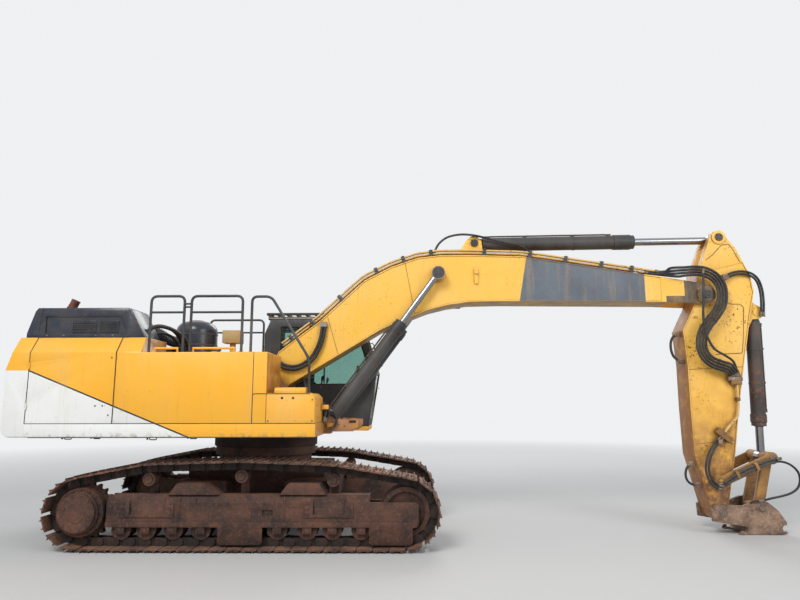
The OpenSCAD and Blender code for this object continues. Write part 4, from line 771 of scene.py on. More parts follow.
# Boom and stick: x and z of the lower and upper edge at each joint of their plates
BOOM_FORM = [
    (230, 2110, 20, 2330), (400, 2235, 200, 2725), (1000, 2590, 850, 3216),
    (1784, 3063, 1538, 3852), (2150, 3230, 1960, 4070), (2537, 3381, 2380, 4215),
    (2846, 3457, 2744, 4256), (3183, 3505, 3183, 4258), (3698, 3515, 4047, 4231),
    (6320, 3490, 6290, 3880)]
BOOM_TOP = [Vector(s[2:]) for s in BOOM_FORM[1:]]
STICK_FORM = [
    (6760, 330, 6990, 330), (6560, 1152, 7180, 1210), (6548, 1837, 7281, 1837),
    (6553, 2499, 7428, 2537), (6519, 3050, 7577, 3272), (6728, 3458, 7670, 3651),
    (6790, 3800, 7634, 3929), (6834, 4056, 7446, 4349)]
BOOM_HW, STICK_HW, LIP_T, LIP_W = 280, 215, 8, 16

# Pipes and hoses. Points are [x, y, z]; the far side's are drawn with y positive.
PIPE_R, HOSE_R = 15, 22
LAYERS = (40, 82)
# Distance from the centre plane, layer, place where the front end lies
PIPES = [(165, 0, 5800), (205, 0, 5880), (245, 0, 5960), (225, 1, 6040), (262, 1, 6120)]
# Leg of the boom's top edge, and the share of it, where the pipes are clamped
CLAMPS = [(0, 0.35), (0, 0.85), (1, 0.5), (2, 0.5), (3, 0.5), (4, 0.6), (6, 0.3), (7, 0.05),
          (7, 0.3), (7, 0.55), (7, 0.76)]
# Hoses past the elbow: the pipe that each continues, its shift in the plane of the loop
ELBOWS = [(4, 66), (3, 22), (2, -22), (1, -66)]


def pipe_line(row):
    y, layer, end = row
    p = lifted(BOOM_TOP, LAYERS[layer])
    first = p[0].lerp(p[1], 0.15)
    last = p[-2] + (p[-1] - p[-2]) * (end - p[-2][0]) / (p[-1][0] - p[-2][0])
    return [Vector((q[0], y, q[1])) for q in [first] + p[1:-1] + [last]]


def pipe_end(row, *distances):
    """Points past the near pipe's front end."""
    p = pipe_line(row)
    return mirrored([p[-1] + t * (p[-1] - p[-2]).normalized() for t in distances])


def fitting(shape, place, direction, r, length=52):
    """Crimped sleeve and nut on a hose's end; direction leads away from the hose."""
    p, d = Vector(place), Vector(direction).normalized()
    shape.turning(p - d * length, p, [
        (0, r + 1), (3, r + 5), (10, r + 5), (13, r + 3.5), (16, r + 5), (24, r + 5), (27, r + 3.5),
        (30, r + 5), (length - 6, r + 5), (length, r + 2)], 16)
    shape.turning(p, p + d * 24, [(0, r + 9), (22, r + 9), (24, r + 6)], 6)


def hose_piece(shape, ends, points, r, steps=6, shift=0.0, sides=12, tips=(True, True)):
    line = spline(moved(points, shift) if shift else points, steps)
    shape.tube(line, r, sides)
    if tips[0]:
        fitting(ends, line[0], line[0] - line[1], r)
    if tips[1]:
        fitting(ends, line[-1], line[-1] - line[-2], r)
    return line


def coiled(shape, line, r, wire=3.2, lead=17, step=3.4):
    """Spiral guard wound round a hose."""
    total, out = 0.0, []
    for a, b in zip(line, line[1:]):
        d = (b - a).normalized()
        n = (ACROSS - d[1] * d).normalized()
        m = d.cross(n)
        count = max(1, int((b - a).length / step))
        for k in range(count):
            w = 2 * math.pi * (total + (b - a).length * k / count) / lead
            ray = math.cos(w) * n + math.sin(w) * m
            out.append(a.lerp(b, k / count) + (r + wire * 0.4) * ray)
        total += (b - a).length
    shape.tube(out, wire, 5)


def boom_lines():
    """Pipes along the boom's top with their clamps; gives back the fasteners."""
    pipes, clamps, metal = shapes(3)
    for line in [mirrored(pipe_line(p)) for p in PIPES] + [pipe_line(p) for p in PIPES[:2]]:
        pipes.tube(rounded_line(line), PIPE_R, 14)
    low = LAYERS[0]
    for leg, share in CLAMPS:
        a, b = BOOM_TOP[leg], BOOM_TOP[leg + 1]
        m = a.lerp(b, share)
        slope = -math.atan2(b[1] - a[1], b[0] - a[0])
        turn = set_at((m[0], 0, m[1]), "Y", math.degrees(slope))
        up = turn.to_3x3() @ Vector((0, 0, 1))
        for y0, y1, high in ((-285, -140, LAYERS[1]), (140, 230, low)):
            clamps.box((-30, y0, 0.5), (30, y1, low - 2), 4, turn)
            clamps.box((-26, y0 + 3, low + 1), (26, y1 - 3, high + 14), 4, turn)
            clamps.box((-30, y0, high + 15), (30, y1, high + 24), 3, turn)
            for y in (y0 + 8, (y0 + y1) / 2, y1 - 8):
                metal.bolt(turn @ Vector((0, y, high + 24)), up, 8, 7, False)
    pipes.done("boom_pipe_runs", "boom", "pipe", ("boom_pipes",))
    clamps.done("boom_pipe_clamps", "boom", "black", ("boom_pipes",))
    return metal


def tie(shape, lines, share):
    """A strap round hoses that lie side by side."""
    place = int(share * (len(lines[0]) - 1))
    a, b = lines[0][place], lines[-1][int(share * (len(lines[-1]) - 1))]
    step = int(share * (len(lines[1]) - 1))
    d = (lines[1][step + 1] - lines[1][step]).normalized()
    across = (b - a).normalized()
    normal = d.cross(across).normalized()
    ring = []
    for k in range(28):
        w = 2 * math.pi * k / 28
        c = (a + b) / 2 + across * ((a - b).length / 2) * (1 if math.cos(w) > 0 else -1)
        ring.append(c + 23 * (math.cos(w) * across + math.sin(w) * normal))
    shape.tube(ring + ring[:1], 4, 6)


def elbow_lines(metal):
    """Hoses from the pipes' ends round the elbow; their end fittings ride on the stick."""
    rubber, ends, ties = shapes(3)
    loop = [(6720, -376, 3965), (6880, -376, 3935), (7010, -376, 3850), (7085, -376, 3720),
            (7095, -376, 3570), (7060, -376, 3420), (6970, -376, 3280), (6850, -376, 3140),
            (6755, -376, 2990), (6715, -376, 2820), (6750, -376, 2660), (6850, -376, 2550),
            (6990, -376, 2490), (7130, -340, 2450), (7210, -290, 2380), (7235, -262, 2322)]
    lines = []
    for number, shift in ELBOWS:
        row = PIPES[number]
        lead = [(6380 - shift / 2, -326, 3952 + shift), (6540, -352, 3958 + shift)]
        lines.append(hose_piece(rubber, ends, pipe_end(row, 10, 150) + lead + moved(loop, shift),
                                HOSE_R - 2, 6, 0.0, 14, (False, True)))
        metal.turning(*pipe_end(row, 0.6, 60), [(0, 22), (18, 22), (19, 25), (40, 25), (41, 22),
                                                (59, 22)], 14)
    rubber.done("elbow_hoses", None, "rubber", ("boom_hoses", "stick_hoses"))
    ends.done("elbow_hose_ends", "stick", "steel", ("stick_hoses",))
    for share in (0.42, 0.56, 0.7, 0.83):
        tie(ties, lines, share)
    ties.done("elbow_hose_ties", None, "seal", ("stick_hoses",))


def bend_round_elbow():
    """Bakes the placing of the elbow hoses and their ties into their meshes."""
    for name in ("elbow_hoses", "elbow_hose_ties"):
        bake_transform(bpy.data.objects[name])


def stick_rear(z):
    """Point of the stick's rear face at a height."""
    for a, b in zip(STICK_FORM, STICK_FORM[1:]):
        if a[1] <= z <= b[1]:
            return Vector((a[0] + (b[0] - a[0]) * (z - a[1]) / (b[1] - a[1]), z))
    return Vector((STICK_FORM[-1][0], z))


def stick_lines():
    rubber, metal, blocks, pipes, holders = shapes(5)
    # route, radius and the shifts at which it is laid
    runs = [
        ([(6800, -438, 3960), (6790, -438, 3780), (6775, -438, 3520), (6750, -438, 3280),
          (6752, -438, 3090), (6790, -438, 2910), (6880, -438, 2740), (7040, -420, 2640),
          (7190, -340, 2560), (7265, -275, 2440), (7285, -262, 2322)], 18, (0,)),
        ([(7210, -270, 3880), (7330, -262, 3930), (7470, -256, 3958), (7620, -250, 3930),
          (7725, -240, 3840), (7785, -215, 3680), (7800, -195, 3480), (7785, -185, 3290)],
         17, (-20, 20)),
        ([(6475, -100, 3000), (6400, -100, 2950), (6362, -100, 2860), (6362, -100, 2740),
          (6400, -100, 2640), (6490, -100, 2570)], 20, (0,)),
        ([(6540, -100, 1010), (6475, -100, 950), (6448, -100, 850), (6470, -100, 760),
          (6540, -100, 705), (6620, -100, 700)], 18, (0,)),
        ([(6952, -262, 1392), (6860, -275, 1310), (6760, -310, 1190), (6690, -350, 1060),
          (6665, -370, 930), (6695, -388, 800), (6770, -392, 715), (6845, -392, 690)],
         17, (-22, 22))]
    for route, r, shifts in runs:
        for shift in shifts:
            hose_piece(rubber, metal, route, r, 6, shift)
    side = -STICK_HW + LIP_T
    blocks.box((7130, -300, 2262), (7340, side, 2320), 5)
    blocks.box((7170, -300, 3835), (7240, side, 3925), 6)
    blocks.box((6900, -292, 1320), (6962, side, 1382), 5)
    for z in (2965, 2535, 980, 665):
        a, b = stick_rear(z), stick_rear(z + 70)
        d = (b - a).normalized()
        out = Vector((-d[1], d[0]))
        blocks.prism([a + 0.5 * out, b + 0.5 * out, b + 75 * out, a + 75 * out], "y", -135, -65, 5)
    metal.bolts([(x, -300, z) for x in (7150, 7318) for z in (2275, 2306)], (0, -1, 0), 8, 7)
    metal.bolts([(7205, -300, z) for z in (3852, 3908)], (0, -1, 0), 9, 8)
    rubber.done("stick_hose_runs", "stick", "rubber", ("stick_hoses",))
    blocks.done("stick_hose_blocks", "stick", "worn", ("stick_hoses",))
    metal.done("stick_hose_ends", "stick", "steel", ("stick_hoses",))
    route = [(7255, 2215), (7262, 1900), (7230, 1720), (7080, 1570), (7000, 1470)]
    for y in (-235, -270):
        pipes.tube(rounded_line([Vector((x, y, z)) for x, z in route], 0.2), 14, 14)
    holders.box((7165, side, 2205), (7325, -300, 2262), 5)
    holders.box((7228, side, 1960), (7283, -292, 2010), 5)
    holders.box((-130, side, -50), (130, -300, 40), 6, set_at((7000, 0, 1450), "Y", 40))
    pipes.done("stick_pipe_runs", "stick", "pipe", ("stick_pipes",))
    holders.done("stick_pipe_holders", "stick", "link", ("stick_pipes",))


def link_lines():
    rubber, metal, guards, clips = shapes(4)
    route = [(6847, -350, 690), (6930, -350, 725), (7050, -350, 800), (7200, -350, 890),
             (7400, -350, 970), (7600, -350, 1040), (7760, -350, 1065), (7900, -350, 1020),
             (8000, -350, 920), (8022, -350, 800), (7980, -350, 690), (7880, -350, 615),
             (7740, -350, 570), (7580, -345, 535), (7430, -320, 490)]
    coiled(guards, hose_piece(rubber, metal, route, 16.5, 6)[8:34], 16)
    coiled(guards, hose_piece(rubber, metal, route[:7], 15, 6, 44)[6:34], 14.5)
    for x in (7130, 7420):
        turn = set_at((x, 0, 845 + (x - 7130) * 0.42), "Y", -24)
        clips.box((-22, -372, -28), (22, -313, 84), 4, turn)
    rubber.done("link_hose_runs", "side_links", "rubber", ("link_hoses",))
    metal.done("link_hose_ends", "side_links", "steel", ("link_hoses",))
    guards.done("link_hose_guards", "side_links", "braid", ("link_hoses",))
    clips.done("link_hose_clips", "side_links", "link", ("link_hoses",))


def root_lines():
    """Loops at the boom's root, the loop that feeds the arm cylinder and those from the house."""
    rubber, metal, blocks, feeders, tips = shapes(5)
    root = [(905, -308, 3160), (900, -325, 3060), (872, -335, 2900), (820, -335, 2760),
            (735, -335, 2620), (610, -335, 2520), (470, -335, 2475), (320, -335, 2495),
            (190, -335, 2570)]
    for d in (-24, 24):
        hose_piece(rubber, metal, root, HOSE_R, 6, d, 14)
    blocks.box((855, -350, 3110), (955, -BOOM_HW + LIP_T, 3175), 5)
    feed = [(2652, -188, 4326), (2722, -184, 4465), (2860, -176, 4575), (3060, -172, 4622),
            (3270, -170, 4612), (3480, -170, 4565), (3730, -168, 4500), (4030, -158, 4430),
            (4275, -126, 4290)]
    hose_piece(rubber, metal, feed, HOSE_R - 4, 6)
    blocks.box((4248, -148, 4200), (4300, -100, 4312), 5)
    rubber.done("boom_hose_runs", "boom", "rubber", ("boom_hoses",))
    metal.done("boom_hose_ends", "boom", "steel", ("boom_hoses",))
    blocks.done("boom_hose_blocks", "boom", "braid", ("boom_hoses",))
    for y in (-150, -75, 0, 75, 150):
        line = [(330, y, 1690), (420, y, 1760), (560, y * 0.95, 1880), (640, y * 0.9, 2040),
                (610, y * 0.85, 2200), (560, y * 0.8, 2310)]
        hose_piece(feeders, tips, line, 24, 6, 0.0, 12, (True, False))
    feeders.done("root_feed_hoses", None, "rubber")
    tips.done("root_feed_ends", "house", "steel")
    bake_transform(bpy.data.objects["root_feed_hoses"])


boom_metal = boom_lines()
elbow_lines(boom_metal)
bend_round_elbow()
boom_metal.done("boom_clamp_bolts", "boom", "steel", ("boom_pipes",))
stick_lines()
link_lines()
root_lines()


# Trim on the house
SIDE_Y, PANEL_LEAN, CREASE_Z, BAY_Z, DECK_TOP = 1480, 170, 2635, 2855, 1665
BAY_REAR, BAY_FRONT = -2985, -1785
SEAM_X, DOOR_TOP, SILL_Z = 113, 2064, 1485
RAIL_Y, TAIL_R = 1340, 3620
HOOD_Y = -(SIDE_Y - PANEL_LEAN - 48)
FORWARD, UPWARD = Vector((1, 0, 0)), Vector((0, 0, 1))


def side_point(x, z, s, out=0.0):
    """A point on the side panels, which lean inward above the crease."""
    lean = PANEL_LEAN * max(z - CREASE_Z, 0) / (BAY_Z - CREASE_Z)
    return Vector((x, s * (SIDE_Y - lean + out), z))


def side_seams():
    """Rubber lips in the gaps round doors and panels, and the seam above the sill."""
    seals = Shape()
    for s in (-1, 1):
        for x in (BAY_REAR + 2, BAY_FRONT - 2):
            seals.bead([side_point(x, z, s, -2) for z in (DECK_TOP + 4, CREASE_Z, BAY_Z - 4)], 6)
        seals.bead([side_point(x, DECK_TOP + 3, s, -1.5)
                    for x in (BAY_REAR, 964 if s < 0 else -300)], 5)
    # the tank's front panel and the toolbox door under it
    seals.bead([side_point(SEAM_X, z, -1, -1) for z in (2020, CREASE_Z - 4)], 4.5)
    door = [(SEAM_X, DECK_TOP + 6), (SEAM_X, DOOR_TOP), (895, DOOR_TOP)]
    seals.tube(corner_tube([(x, -SIDE_Y + 1, z) for x, z in door], 34, 4), 6, 6)
    seals.done("side_seals", "house", "seal")


def fasteners():
    """Plugs, bolts, lifting eyes, steps and hinges on the house."""
    dark, metal, yellow = shapes(3)
    for x in (516, 666):
        dark.rod((x, -SIDE_Y + 2, 2007), (x, -SIDE_Y - 4, 2007), 17, 18, 2)
    metal.bolts([(x, -SIDE_Y, z) for x, z in ((330, 1700), (930, 1700), (930, 1985))],
                (0, -1, 0), 8, 5, True)
    for s in (-1, 1):
        for x in (-2030, -1930):
            dark.box((x - 9, s * SIDE_Y, 1895), (x + 9, s * (SIDE_Y + 4), 1915), 3)
        metal.bolts([(BAY_FRONT - 60, s * SIDE_Y, z) for z in (1780, 2560)], (0, s, 0), 8, 5, True)
    for y in (-560, 560):
        ring = [(-3230 + 46 * math.cos(w), y, BAY_Z + 34 + 46 * math.sin(w))
                for w in [math.pi * k / 10 for k in range(-1, 12)]]
        yellow.tube(ring, 15, 10)
        yellow.box((-3292, y - 24, BAY_Z - 4), (-3168, y + 24, BAY_Z + 12), 5)
    for z in (1745, 1905):
        yellow.box((964, -1400, z), (972, -1060, z + 6), 2)
    for x in (470, 760):
        metal.rod((x, -1102, 2138), (x + 60, -1102, 2138), 9, 12, 2)
    # bolts and filler cap on the tank's top
    metal.bolts([(x, y, CREASE_Z) for x in (-1180, -560, 20, 240) for y in (-1400, -1240, -700)],
                (0, 0, 1), 10, 7, True)
    metal.turning((-600, -900, 2690), (-600, -900, 2742),
                  [(0, 76), (6, 84), (34, 84), (44, 74), (52, 40)], 28)
    metal.box((-668, -908, 2738), (-532, -892, 2752), 4)
    dark.done("house_plugs", "house", "seal")
    metal.done("house_bolts", "house", "steel")
    yellow.done("house_fittings", "house", "yellow")


def underside():
    """Lip along the body's lower edge, with drain stubs and hose ends that hang below it."""
    dark = Shape()
    for s, x1 in ((-1, 940), (1, -320)):
        lip_y, stub_y, hose_y = [s * (SIDE_Y - inset) for inset in (14, 60, 70)]
        dark.bead([(x, lip_y, SILL_Z - 2) for x in (BAY_REAR + 60, x1)], 7)
        for x, drop in ((-2475, 26), (-2080, 18), (-1310, 34), (-760, 20), (-35, 30)):
            if x < x1:
                top, low = SILL_Z + 2, SILL_Z - drop
                dark.rod((x, stub_y, top), (x, stub_y, low), 13, 12, 2)
                hose = [(x + 26, top), (x + 26, low), (x + 120, low), (x + 120, top)]
                dark.tube(corner_tube([(u, hose_y, z) for u, z in hose], 14, 3), 7, 8)
    # slot in the raised strip below the hood
    dark.box((-2990, -SIDE_Y + PANEL_LEAN - 4, BAY_Z - 2),
             (-1720, -SIDE_Y + PANEL_LEAN + 8, BAY_Z + 6))
    dark.done("body_lip", "house", "seal")


def tread_plates():
    """Walking surfaces with rows of raised studs, clear of the tank's cap."""
    plates = Shape()
    for x0, x1, y0, y1, z in ((-1380, 250, -1250, -640, CREASE_Z), (330, 900, -1060, -730, 2074)):
        plates.box((x0, y0, z - 2), (x1, y1, z + 4), 2)
        for i in range(int((x1 - x0) / 74)):
            for j in range(int((y1 - y0) / 62)):
                x, y = x0 + 40 + i * 74 + (j % 2) * 20, y0 + 36 + j * 62
                if math.hypot(x + 600, y + 900) > 105:
                    plates.turning((x, y, z + 3), (x, y, z + 9), [(0, 12), (6, 9)], 10)
    plates.done("tread_plates", "house", "engine")


def handrails():
    near, far, feet = shapes(3)
    z = CREASE_Z

    def loop(shape, x0, x1, y):
        top = [(x0, z), (x0, z + 800), (x1, z + 800), (x1, z)]
        shape.tube(corner_tube([(x, y, h) for x, h in top], 90), 19, 14)
        shape.tube([(x, y, z + 570) for x in (x0, x1)], 16, 12)
        for x in (x0, x1):
            feet.rod((x, y, z), (x, y, z + 9), 42, 20, 2)
            feet.bolts(circle(Vector((x, y, z + 9)), FORWARD, ACROSS, 31, 4, 0.5), UPWARD, 6, 6)

    loop(near, -1400, -926, -RAIL_Y)
    loop(near, -827, -102, -RAIL_Y)
    steps = [(30, z), (30, z + 790), (300, z + 790), (850, 2550), (860, 2074)]
    near.tube(corner_tube([(x, -RAIL_Y, h) for x, h in steps], 80), 19, 14)
    for h in (635, 680):
        near.box((-930, -RAIL_Y - 25, z + h), (-823, -RAIL_Y + 25, z + h + 20), 4)
    loop(far, -1400, -420, RAIL_Y)
    for x, top in ((30, z), (860, 2074)):
        feet.rod((x, -RAIL_Y, top), (x, -RAIL_Y, top + 9), 42, 20, 2)
    near.done("rails_near", "house", "black", ("handrails_right",))
    far.done("rails_far", "house", "black", ("handrails_left",))
    feet.done("rail_feet", "house", "black")


def hood_trim():
    """Seams, recess, slats and bolts of the hood, and the exhaust's rim."""
    trim, metal, pipe = shapes(3)
    y = HOOD_Y
    trim.bead([(-3025, y - 0.5, BAY_Z + 60), (-2982, y - 0.5, BAY_Z + 424)], 5)
    trim.bead([(-2982, y, BAY_Z + 429), (-2982, -700, BAY_Z + 429)], 5)
    trim.bead([(-1752, y, BAY_Z + 420), (-1545, y, BAY_Z + 20)], 4)
    rear, low, high = BAY_REAR + 55, BAY_Z + 62, BAY_Z + 308
    recess = [(rear, low), (rear, high), (BAY_FRONT - 77, high), (BAY_FRONT + 36, low), (rear, low)]
    trim.bead([(x, y + 1, z) for x, z in recess], 5)
    for x0, x1 in ((-2556, -2207), (-2158, -1884)):
        for z in range(BAY_Z + 100, BAY_Z + 230, 13):
            trim.box((x0 + 14, y + 6, z), (x1 - 14, y + 13, z + 4))
    metal.bolts([(x, y, BAY_Z + 36) for x in (-2900, -2200, -2660, -1960)], (0, -1, 0), 8, 5, True)
    trim.done("hood_trim", "engine_hood", "seal")
    metal.done("hood_bolts", "engine_hood", "steel")
    base = Vector((BAY_REAR + 245, -950, BAY_Z + 430))
    tilt = set_at(base + Vector((0, 0, 40)), "Y", 25)
    pipe.turning(tilt @ Vector((0, 0, 18)), tilt @ Vector((0, 0, 128)), [
        (0, 61), (4, 66), (20, 66), (24, 61.5), (96, 61.5), (99, 65), (110, 65), (111, 56),
        (60, 52)], 28)
    pipe.rod(base + UPWARD, base + 12 * UPWARD, 92, 28, 2)
    pipe.done("exhaust_collar", "engine_hood", "exhaust")


def collars(shape, line, places, width, profile, sides):
    """Rings round a line, each centred on one of its points."""
    for i in places:
        d = (line[i + 1] - line[i - 1]).normalized()
        shape.turning(line[i] - d * width, line[i] + d * width, profile, sides)


def intake_side():
    """Duct with ribs and clamps, the dome's bands, and the lines beside them."""
    ribs, bands, metal, hoses, box = shapes(5)
    duct = spline([(-2320, 40, BAY_Z), (-2310, 45, 3010), (-2200, 60, 3130), (-2040, 110, 3140),
                   (-1900, 230, 3070), (-1800, 380, 2990), (-1700, 520, 2950),
                   (-1600, 640, 2940)], 5)
    clamped = (3, 33)
    collars(metal, duct, clamped, 9, [(0, 87), (2, 91), (16, 91), (18, 87)], 24)
    collars(ribs, duct, [i for i in range(2, len(duct) - 1) if i not in clamped], 7,
            [(0, 84), (5, 92), (9, 92), (14, 84)], 24)
    for z, r in ((2690, 348), (2900, 348), (3085, 347)):
        bands.turning((-1430, 720, z), (-1430, 720, z + 24),
                      [(0, r - 4), (3, r + 3), (21, r + 3), (24, r - 4)], 48)
    bands.turning((-1430, 720, 3300), (-1430, 720, 3345),
                  [(0, 110), (8, 112), (40, 108), (45, 100)], 32)
    # lines between the hood and the dome, with their radii
    runs = [
        (30, [(-1560, -1080, 2850), (-1540, -1040, 2980), (-1470, -900, 3060), (-1380, -600, 3050),
              (-1330, -200, 2960), (-1360, 150, 2800), (-1400, 330, 2640)]),
        (24, [(-1640, -900, 2860), (-1600, -880, 3010), (-1500, -700, 3090), (-1420, -380, 3040),
              (-1400, -60, 2880), (-1420, 90, 2700)]),
        (20, [(-1700, -620, 2860), (-1660, -580, 2960), (-1580, -420, 3010), (-1500, -180, 2960),
              (-1480, 20, 2820), (-1480, 120, 2660)])]
    for r, run in runs:
        line = spline(run, 7)
        hoses.tube(line, r, 12)
        for i in (3, len(line) - 4):
            d = (line[i + 1] - line[i]).normalized()
            metal.turning(line[i] - d * 8, line[i] + d * 8,
                          [(0, r + 0.5), (2, r + 4), (14, r + 4), (16, r + 0.5)], 18)
    ribs.done("duct_ribs", "house", "hood")
    bands.done("dome_bands", "house", "black")
    metal.done("duct_clamps", "house", "steel")
    hoses.done("intake_lines", "house", "rubber")
    box.box((-963, 617, CREASE_Z + 317), (-657, 883, CREASE_Z + 538), 12)
    box.box((-940, 614, CREASE_Z + 360), (-680, 618, CREASE_Z + 500), 3)
    box.done("post_box", "house", "tan")


def side_grilles():
    """Louvres in the far doors with their frames, and the doors' handles."""
    slats, grille, handles, latch = shapes(4)
    for z in range(1830, 2500, 42):
        slats.prism([(1478, z), (1486, z + 4), (1486, z + 12), (1478, z + 30)], "x", -2860, -1930)
    for x in (-2868, -1930):
        slats.box((x, 1478, 1810), (x + 8, 1488, 2530), 2)
    for z in (1804, 2526):
        slats.box((-2868, 1478, z), (-1922, 1488, z + 8), 2)
    slats.done("radiator_louvres", "radiator_door", "seal")
    for x in range(-1560, -480, 30):
        grille.box((x, 1479, 2120), (x + 12, 1487, 2520), 1.5)
    for z in (2110, 2522):
        grille.box((-1568, 1479, z), (-470, 1488, z + 10), 2)
    grille.done("service_louvres", "service_door", "seal")
    handles.box((-1915, SIDE_Y, 2080), (-1825, SIDE_Y + 6, 2140), 4)
    handles.box((-1900, SIDE_Y + 4, 2098), (-1840, SIDE_Y + 12, 2122), 4)
    handles.done("radiator_door_handle", "radiator_door", "seal")
    latch.box((-480, 1480, 1990), (-400, 1486, 2060), 4)
    latch.box((-466, 1484, 2008), (-414, 1492, 2042), 4)
    latch.done("service_door_handle", "service_door", "seal")


def tail_trim():
    """Lamps and bolts on the counterweight's curved back."""
    lamps, lenses, metal = shapes(3)
    for y in (-1050, 1050):
        x = -math.sqrt(TAIL_R ** 2 - y ** 2)
        turn = turned("Z", math.degrees(math.atan2(y, x)) - 180, (x, y, 0))
        lamps.box((x - 6, y - 90, 2236), (x + 40, y + 90, 2344), 8, turn)
        lenses.box((x - 12, y - 78, 2248), (x + 2, y + 78, 2332), 6, turn)
    for y in (-500, 0, 500):
        x = -math.sqrt(TAIL_R ** 2 - y ** 2) + 34
        metal.rod((x + 30, y, 1620), (x - 8, y, 1620), 46, 24, 5)
        metal.bolt((x - 8, y, 1620), (-1, 0, 0), 26, 18, False)
    metal.bolts([(-3300, y, BAY_Z) for y in (-900, -300, 300, 900)], (0, 0, 1), 24, 16, True)
    lamps.done("tail_lamp_cases", "house", "seal")
    lenses.done("tail_lamp_lenses", "house", "red")
    metal.done("tail_bolts", "house", "steel")


def nose_side():
    """Blocks, lines and bolts between the tank, the boom's foot and the cylinders."""
    rubber, metal, yellow = shapes(3)
    yellow.box((966, -900, 1848), (1070, -790, 1912), 6)
    yellow.box((1010, -548, 1580), (1112, -520, 1642), 6)
    yellow.box((40, -386, 2412), (270, -374, 2452), 4)
    rubber.box((1336, -519, 1642), (1441, -516, 1680))
    runs = [
        (20, [(990, -760, 1690), (1010, -745, 1800), (1000, -700, 1900), (900, -630, 1950),
              (780, -540, 1880), (700, -400, 1780), (660, -250, 1735)]),
        (18, [(1000, -700, 1680), (1050, -680, 1760), (1040, -640, 1850), (930, -600, 1890),
              (800, -550, 1830), (720, -420, 1750), (680, -270, 1715)]),
        (22, [(985, -640, 1670), (1010, -620, 1730), (980, -600, 1790), (900, -580, 1810),
              (800, -540, 1780), (740, -430, 1720), (700, -290, 1695)]),
        (16, [(1080, -560, 1560), (1130, -566, 1600), (1150, -566, 1700), (1110, -566, 1800),
              (1040, -580, 1840)])]
    for r, run in runs:
        hose_piece(rubber, metal, run, r, 7)
    metal.bolts([(1180, -519, 1620), (1270, -519, 1600), (1440, -519, 1560)], (0, -1, 0), 11, 8,
                True)
    # manifold between the towers
    metal.box((520, -300, 1667), (660, 170, 1762), 8)
    for y in (-110, -40, 40, 110):
        metal.rod((590, y, 1762), (590, y, 1786), 24, 14, 3)
    # covers of the boom's foot pin
    for s in (-1, 1):
        centre = Vector((110, s * 384, 2215))
        metal.rod((110, s * 376, 2215), centre, 92, 28, 3)
        metal.bolts(circle(centre, FORWARD, UPWARD, 68, 6), (0, s, 0), 11, 8)
    rubber.done("nose_lines", "house", "rubber")
    metal.done("nose_metal", "house", "steel")
    yellow.done("nose_blocks", "house", "yellow")


# Boom, stick and cylinders
def outline(form, t):
    """Edges of a box beam, t inside the edges of its upper and lower plates."""
    low, up = [], []
    for x0, z0, x1, z1 in form:
        a, b = Vector((x0, z0)), Vector((x1, z1))
        d = (b - a).normalized()
        low.append(a + t * d)
        up.append(b - t * d)
    return low, up


def weld_seams():
    """Seams along the edges of the beams and between their side plates."""
    # beam, form, half its width, finish, joints between side plates
    beams = [
        ("boom", BOOM_FORM, BOOM_HW, "grime_and_shade",
         [((1130, 2690), (960, 3270)), ((2330, 3320), (2180, 4140))]),
        ("stick", STICK_FORM, STICK_HW, "link",
         [((6570, 2440), (7400, 2480)), ((6575, 1310), (7190, 1370))])]
    tongue = [(6255, 3850), (6275, 3765), (6330, 3738), (6560, 3700)]
    ears = [(6960, 4170), (7080, 4260), (7158, 4347), (7219, 4408), (7335, 4430), (7385, 4365),
            (7455, 4215), (7492, 4135)]
    side_plate = [(7130, 3530), (7174, 3511), (7314, 3459), (7440, 3459), (7492, 3407),
                  (7452, 2953), (7409, 2691), (7000, 2673)]
    for name, form, half, key, cuts in beams:
        seams = Shape()
        for s in (-1, 1):
            y = s * (half - LIP_T)
            for line in outline(form, LIP_W):
                seams.bead([(p[0], y, p[1]) for p in line], 6)
            if name == "boom":
                seams.bead([(x, y, z) for x, z in tongue], 6, 22)
            for (x0, z0), (x1, z1) in cuts:
                seams.bead([(x0, y, z0), ((x0 + x1) / 2, y, (z0 + z1) / 2), (x1, y, z1)], 4.5)
        if name == "stick":
            for y, line in ((half, ears), (half - LIP_T, side_plate)):
                for s in (-1, 1):
                    seams.bead([(x, s * y, z) for x, z in line], 6.5, 18)
        seams.done(name + "_welds", name, key)


def pin_cap(shape, x, z, s, y, r, bolts=4, size=11):
    """Cover of a pin's end on side s, with bolts round a raised middle."""
    face = Vector((x, s * (y + 12), z))
    shape.rod((x, s * (y - 3), z), face, r, 32, 4)
    shape.turning(face, (x, s * (y + 18), z), [(0, r * 0.45), (6, r * 0.36)], 20)
    shape.bolts(circle(face, FORWARD, UPWARD, r * 0.72, bolts, 0.5), (0, s, 0), size, 8)


def arm_pins():
    boom, stick, links, coupler = shapes(4)
    for s in (-1, 1):
        pin_cap(boom, 6882, 3607, s, 340, 66)
        pin_cap(stick, 7184, 4539, s, 235, 64)
        pin_cap(links, 7667, 1109, s, 322, 40, 3, 8)
        pin_cap(coupler, 6888, 310, s, 270, 48, 3, 8)
        pin_cap(coupler, 7471, 376, s, 270, 40, 3, 8)
        # grease nipples
        for x in (6700, 6640):
            boom.rod((x, s * 272, 3560), (x, s * 285, 3560), 9, 10, 2)
        for x in (7000, 7060):
            stick.rod((x, s * 206, 3300), (x, s * 220, 3300), 9, 10, 2)
    boom.done("boom_tip_caps", "boom", "barrel")
    stick.done("stick_top_caps", "stick", "barrel")
    links.done("link_caps", "side_links", "steel")
    coupler.done("coupler_caps", "coupler", "steel")


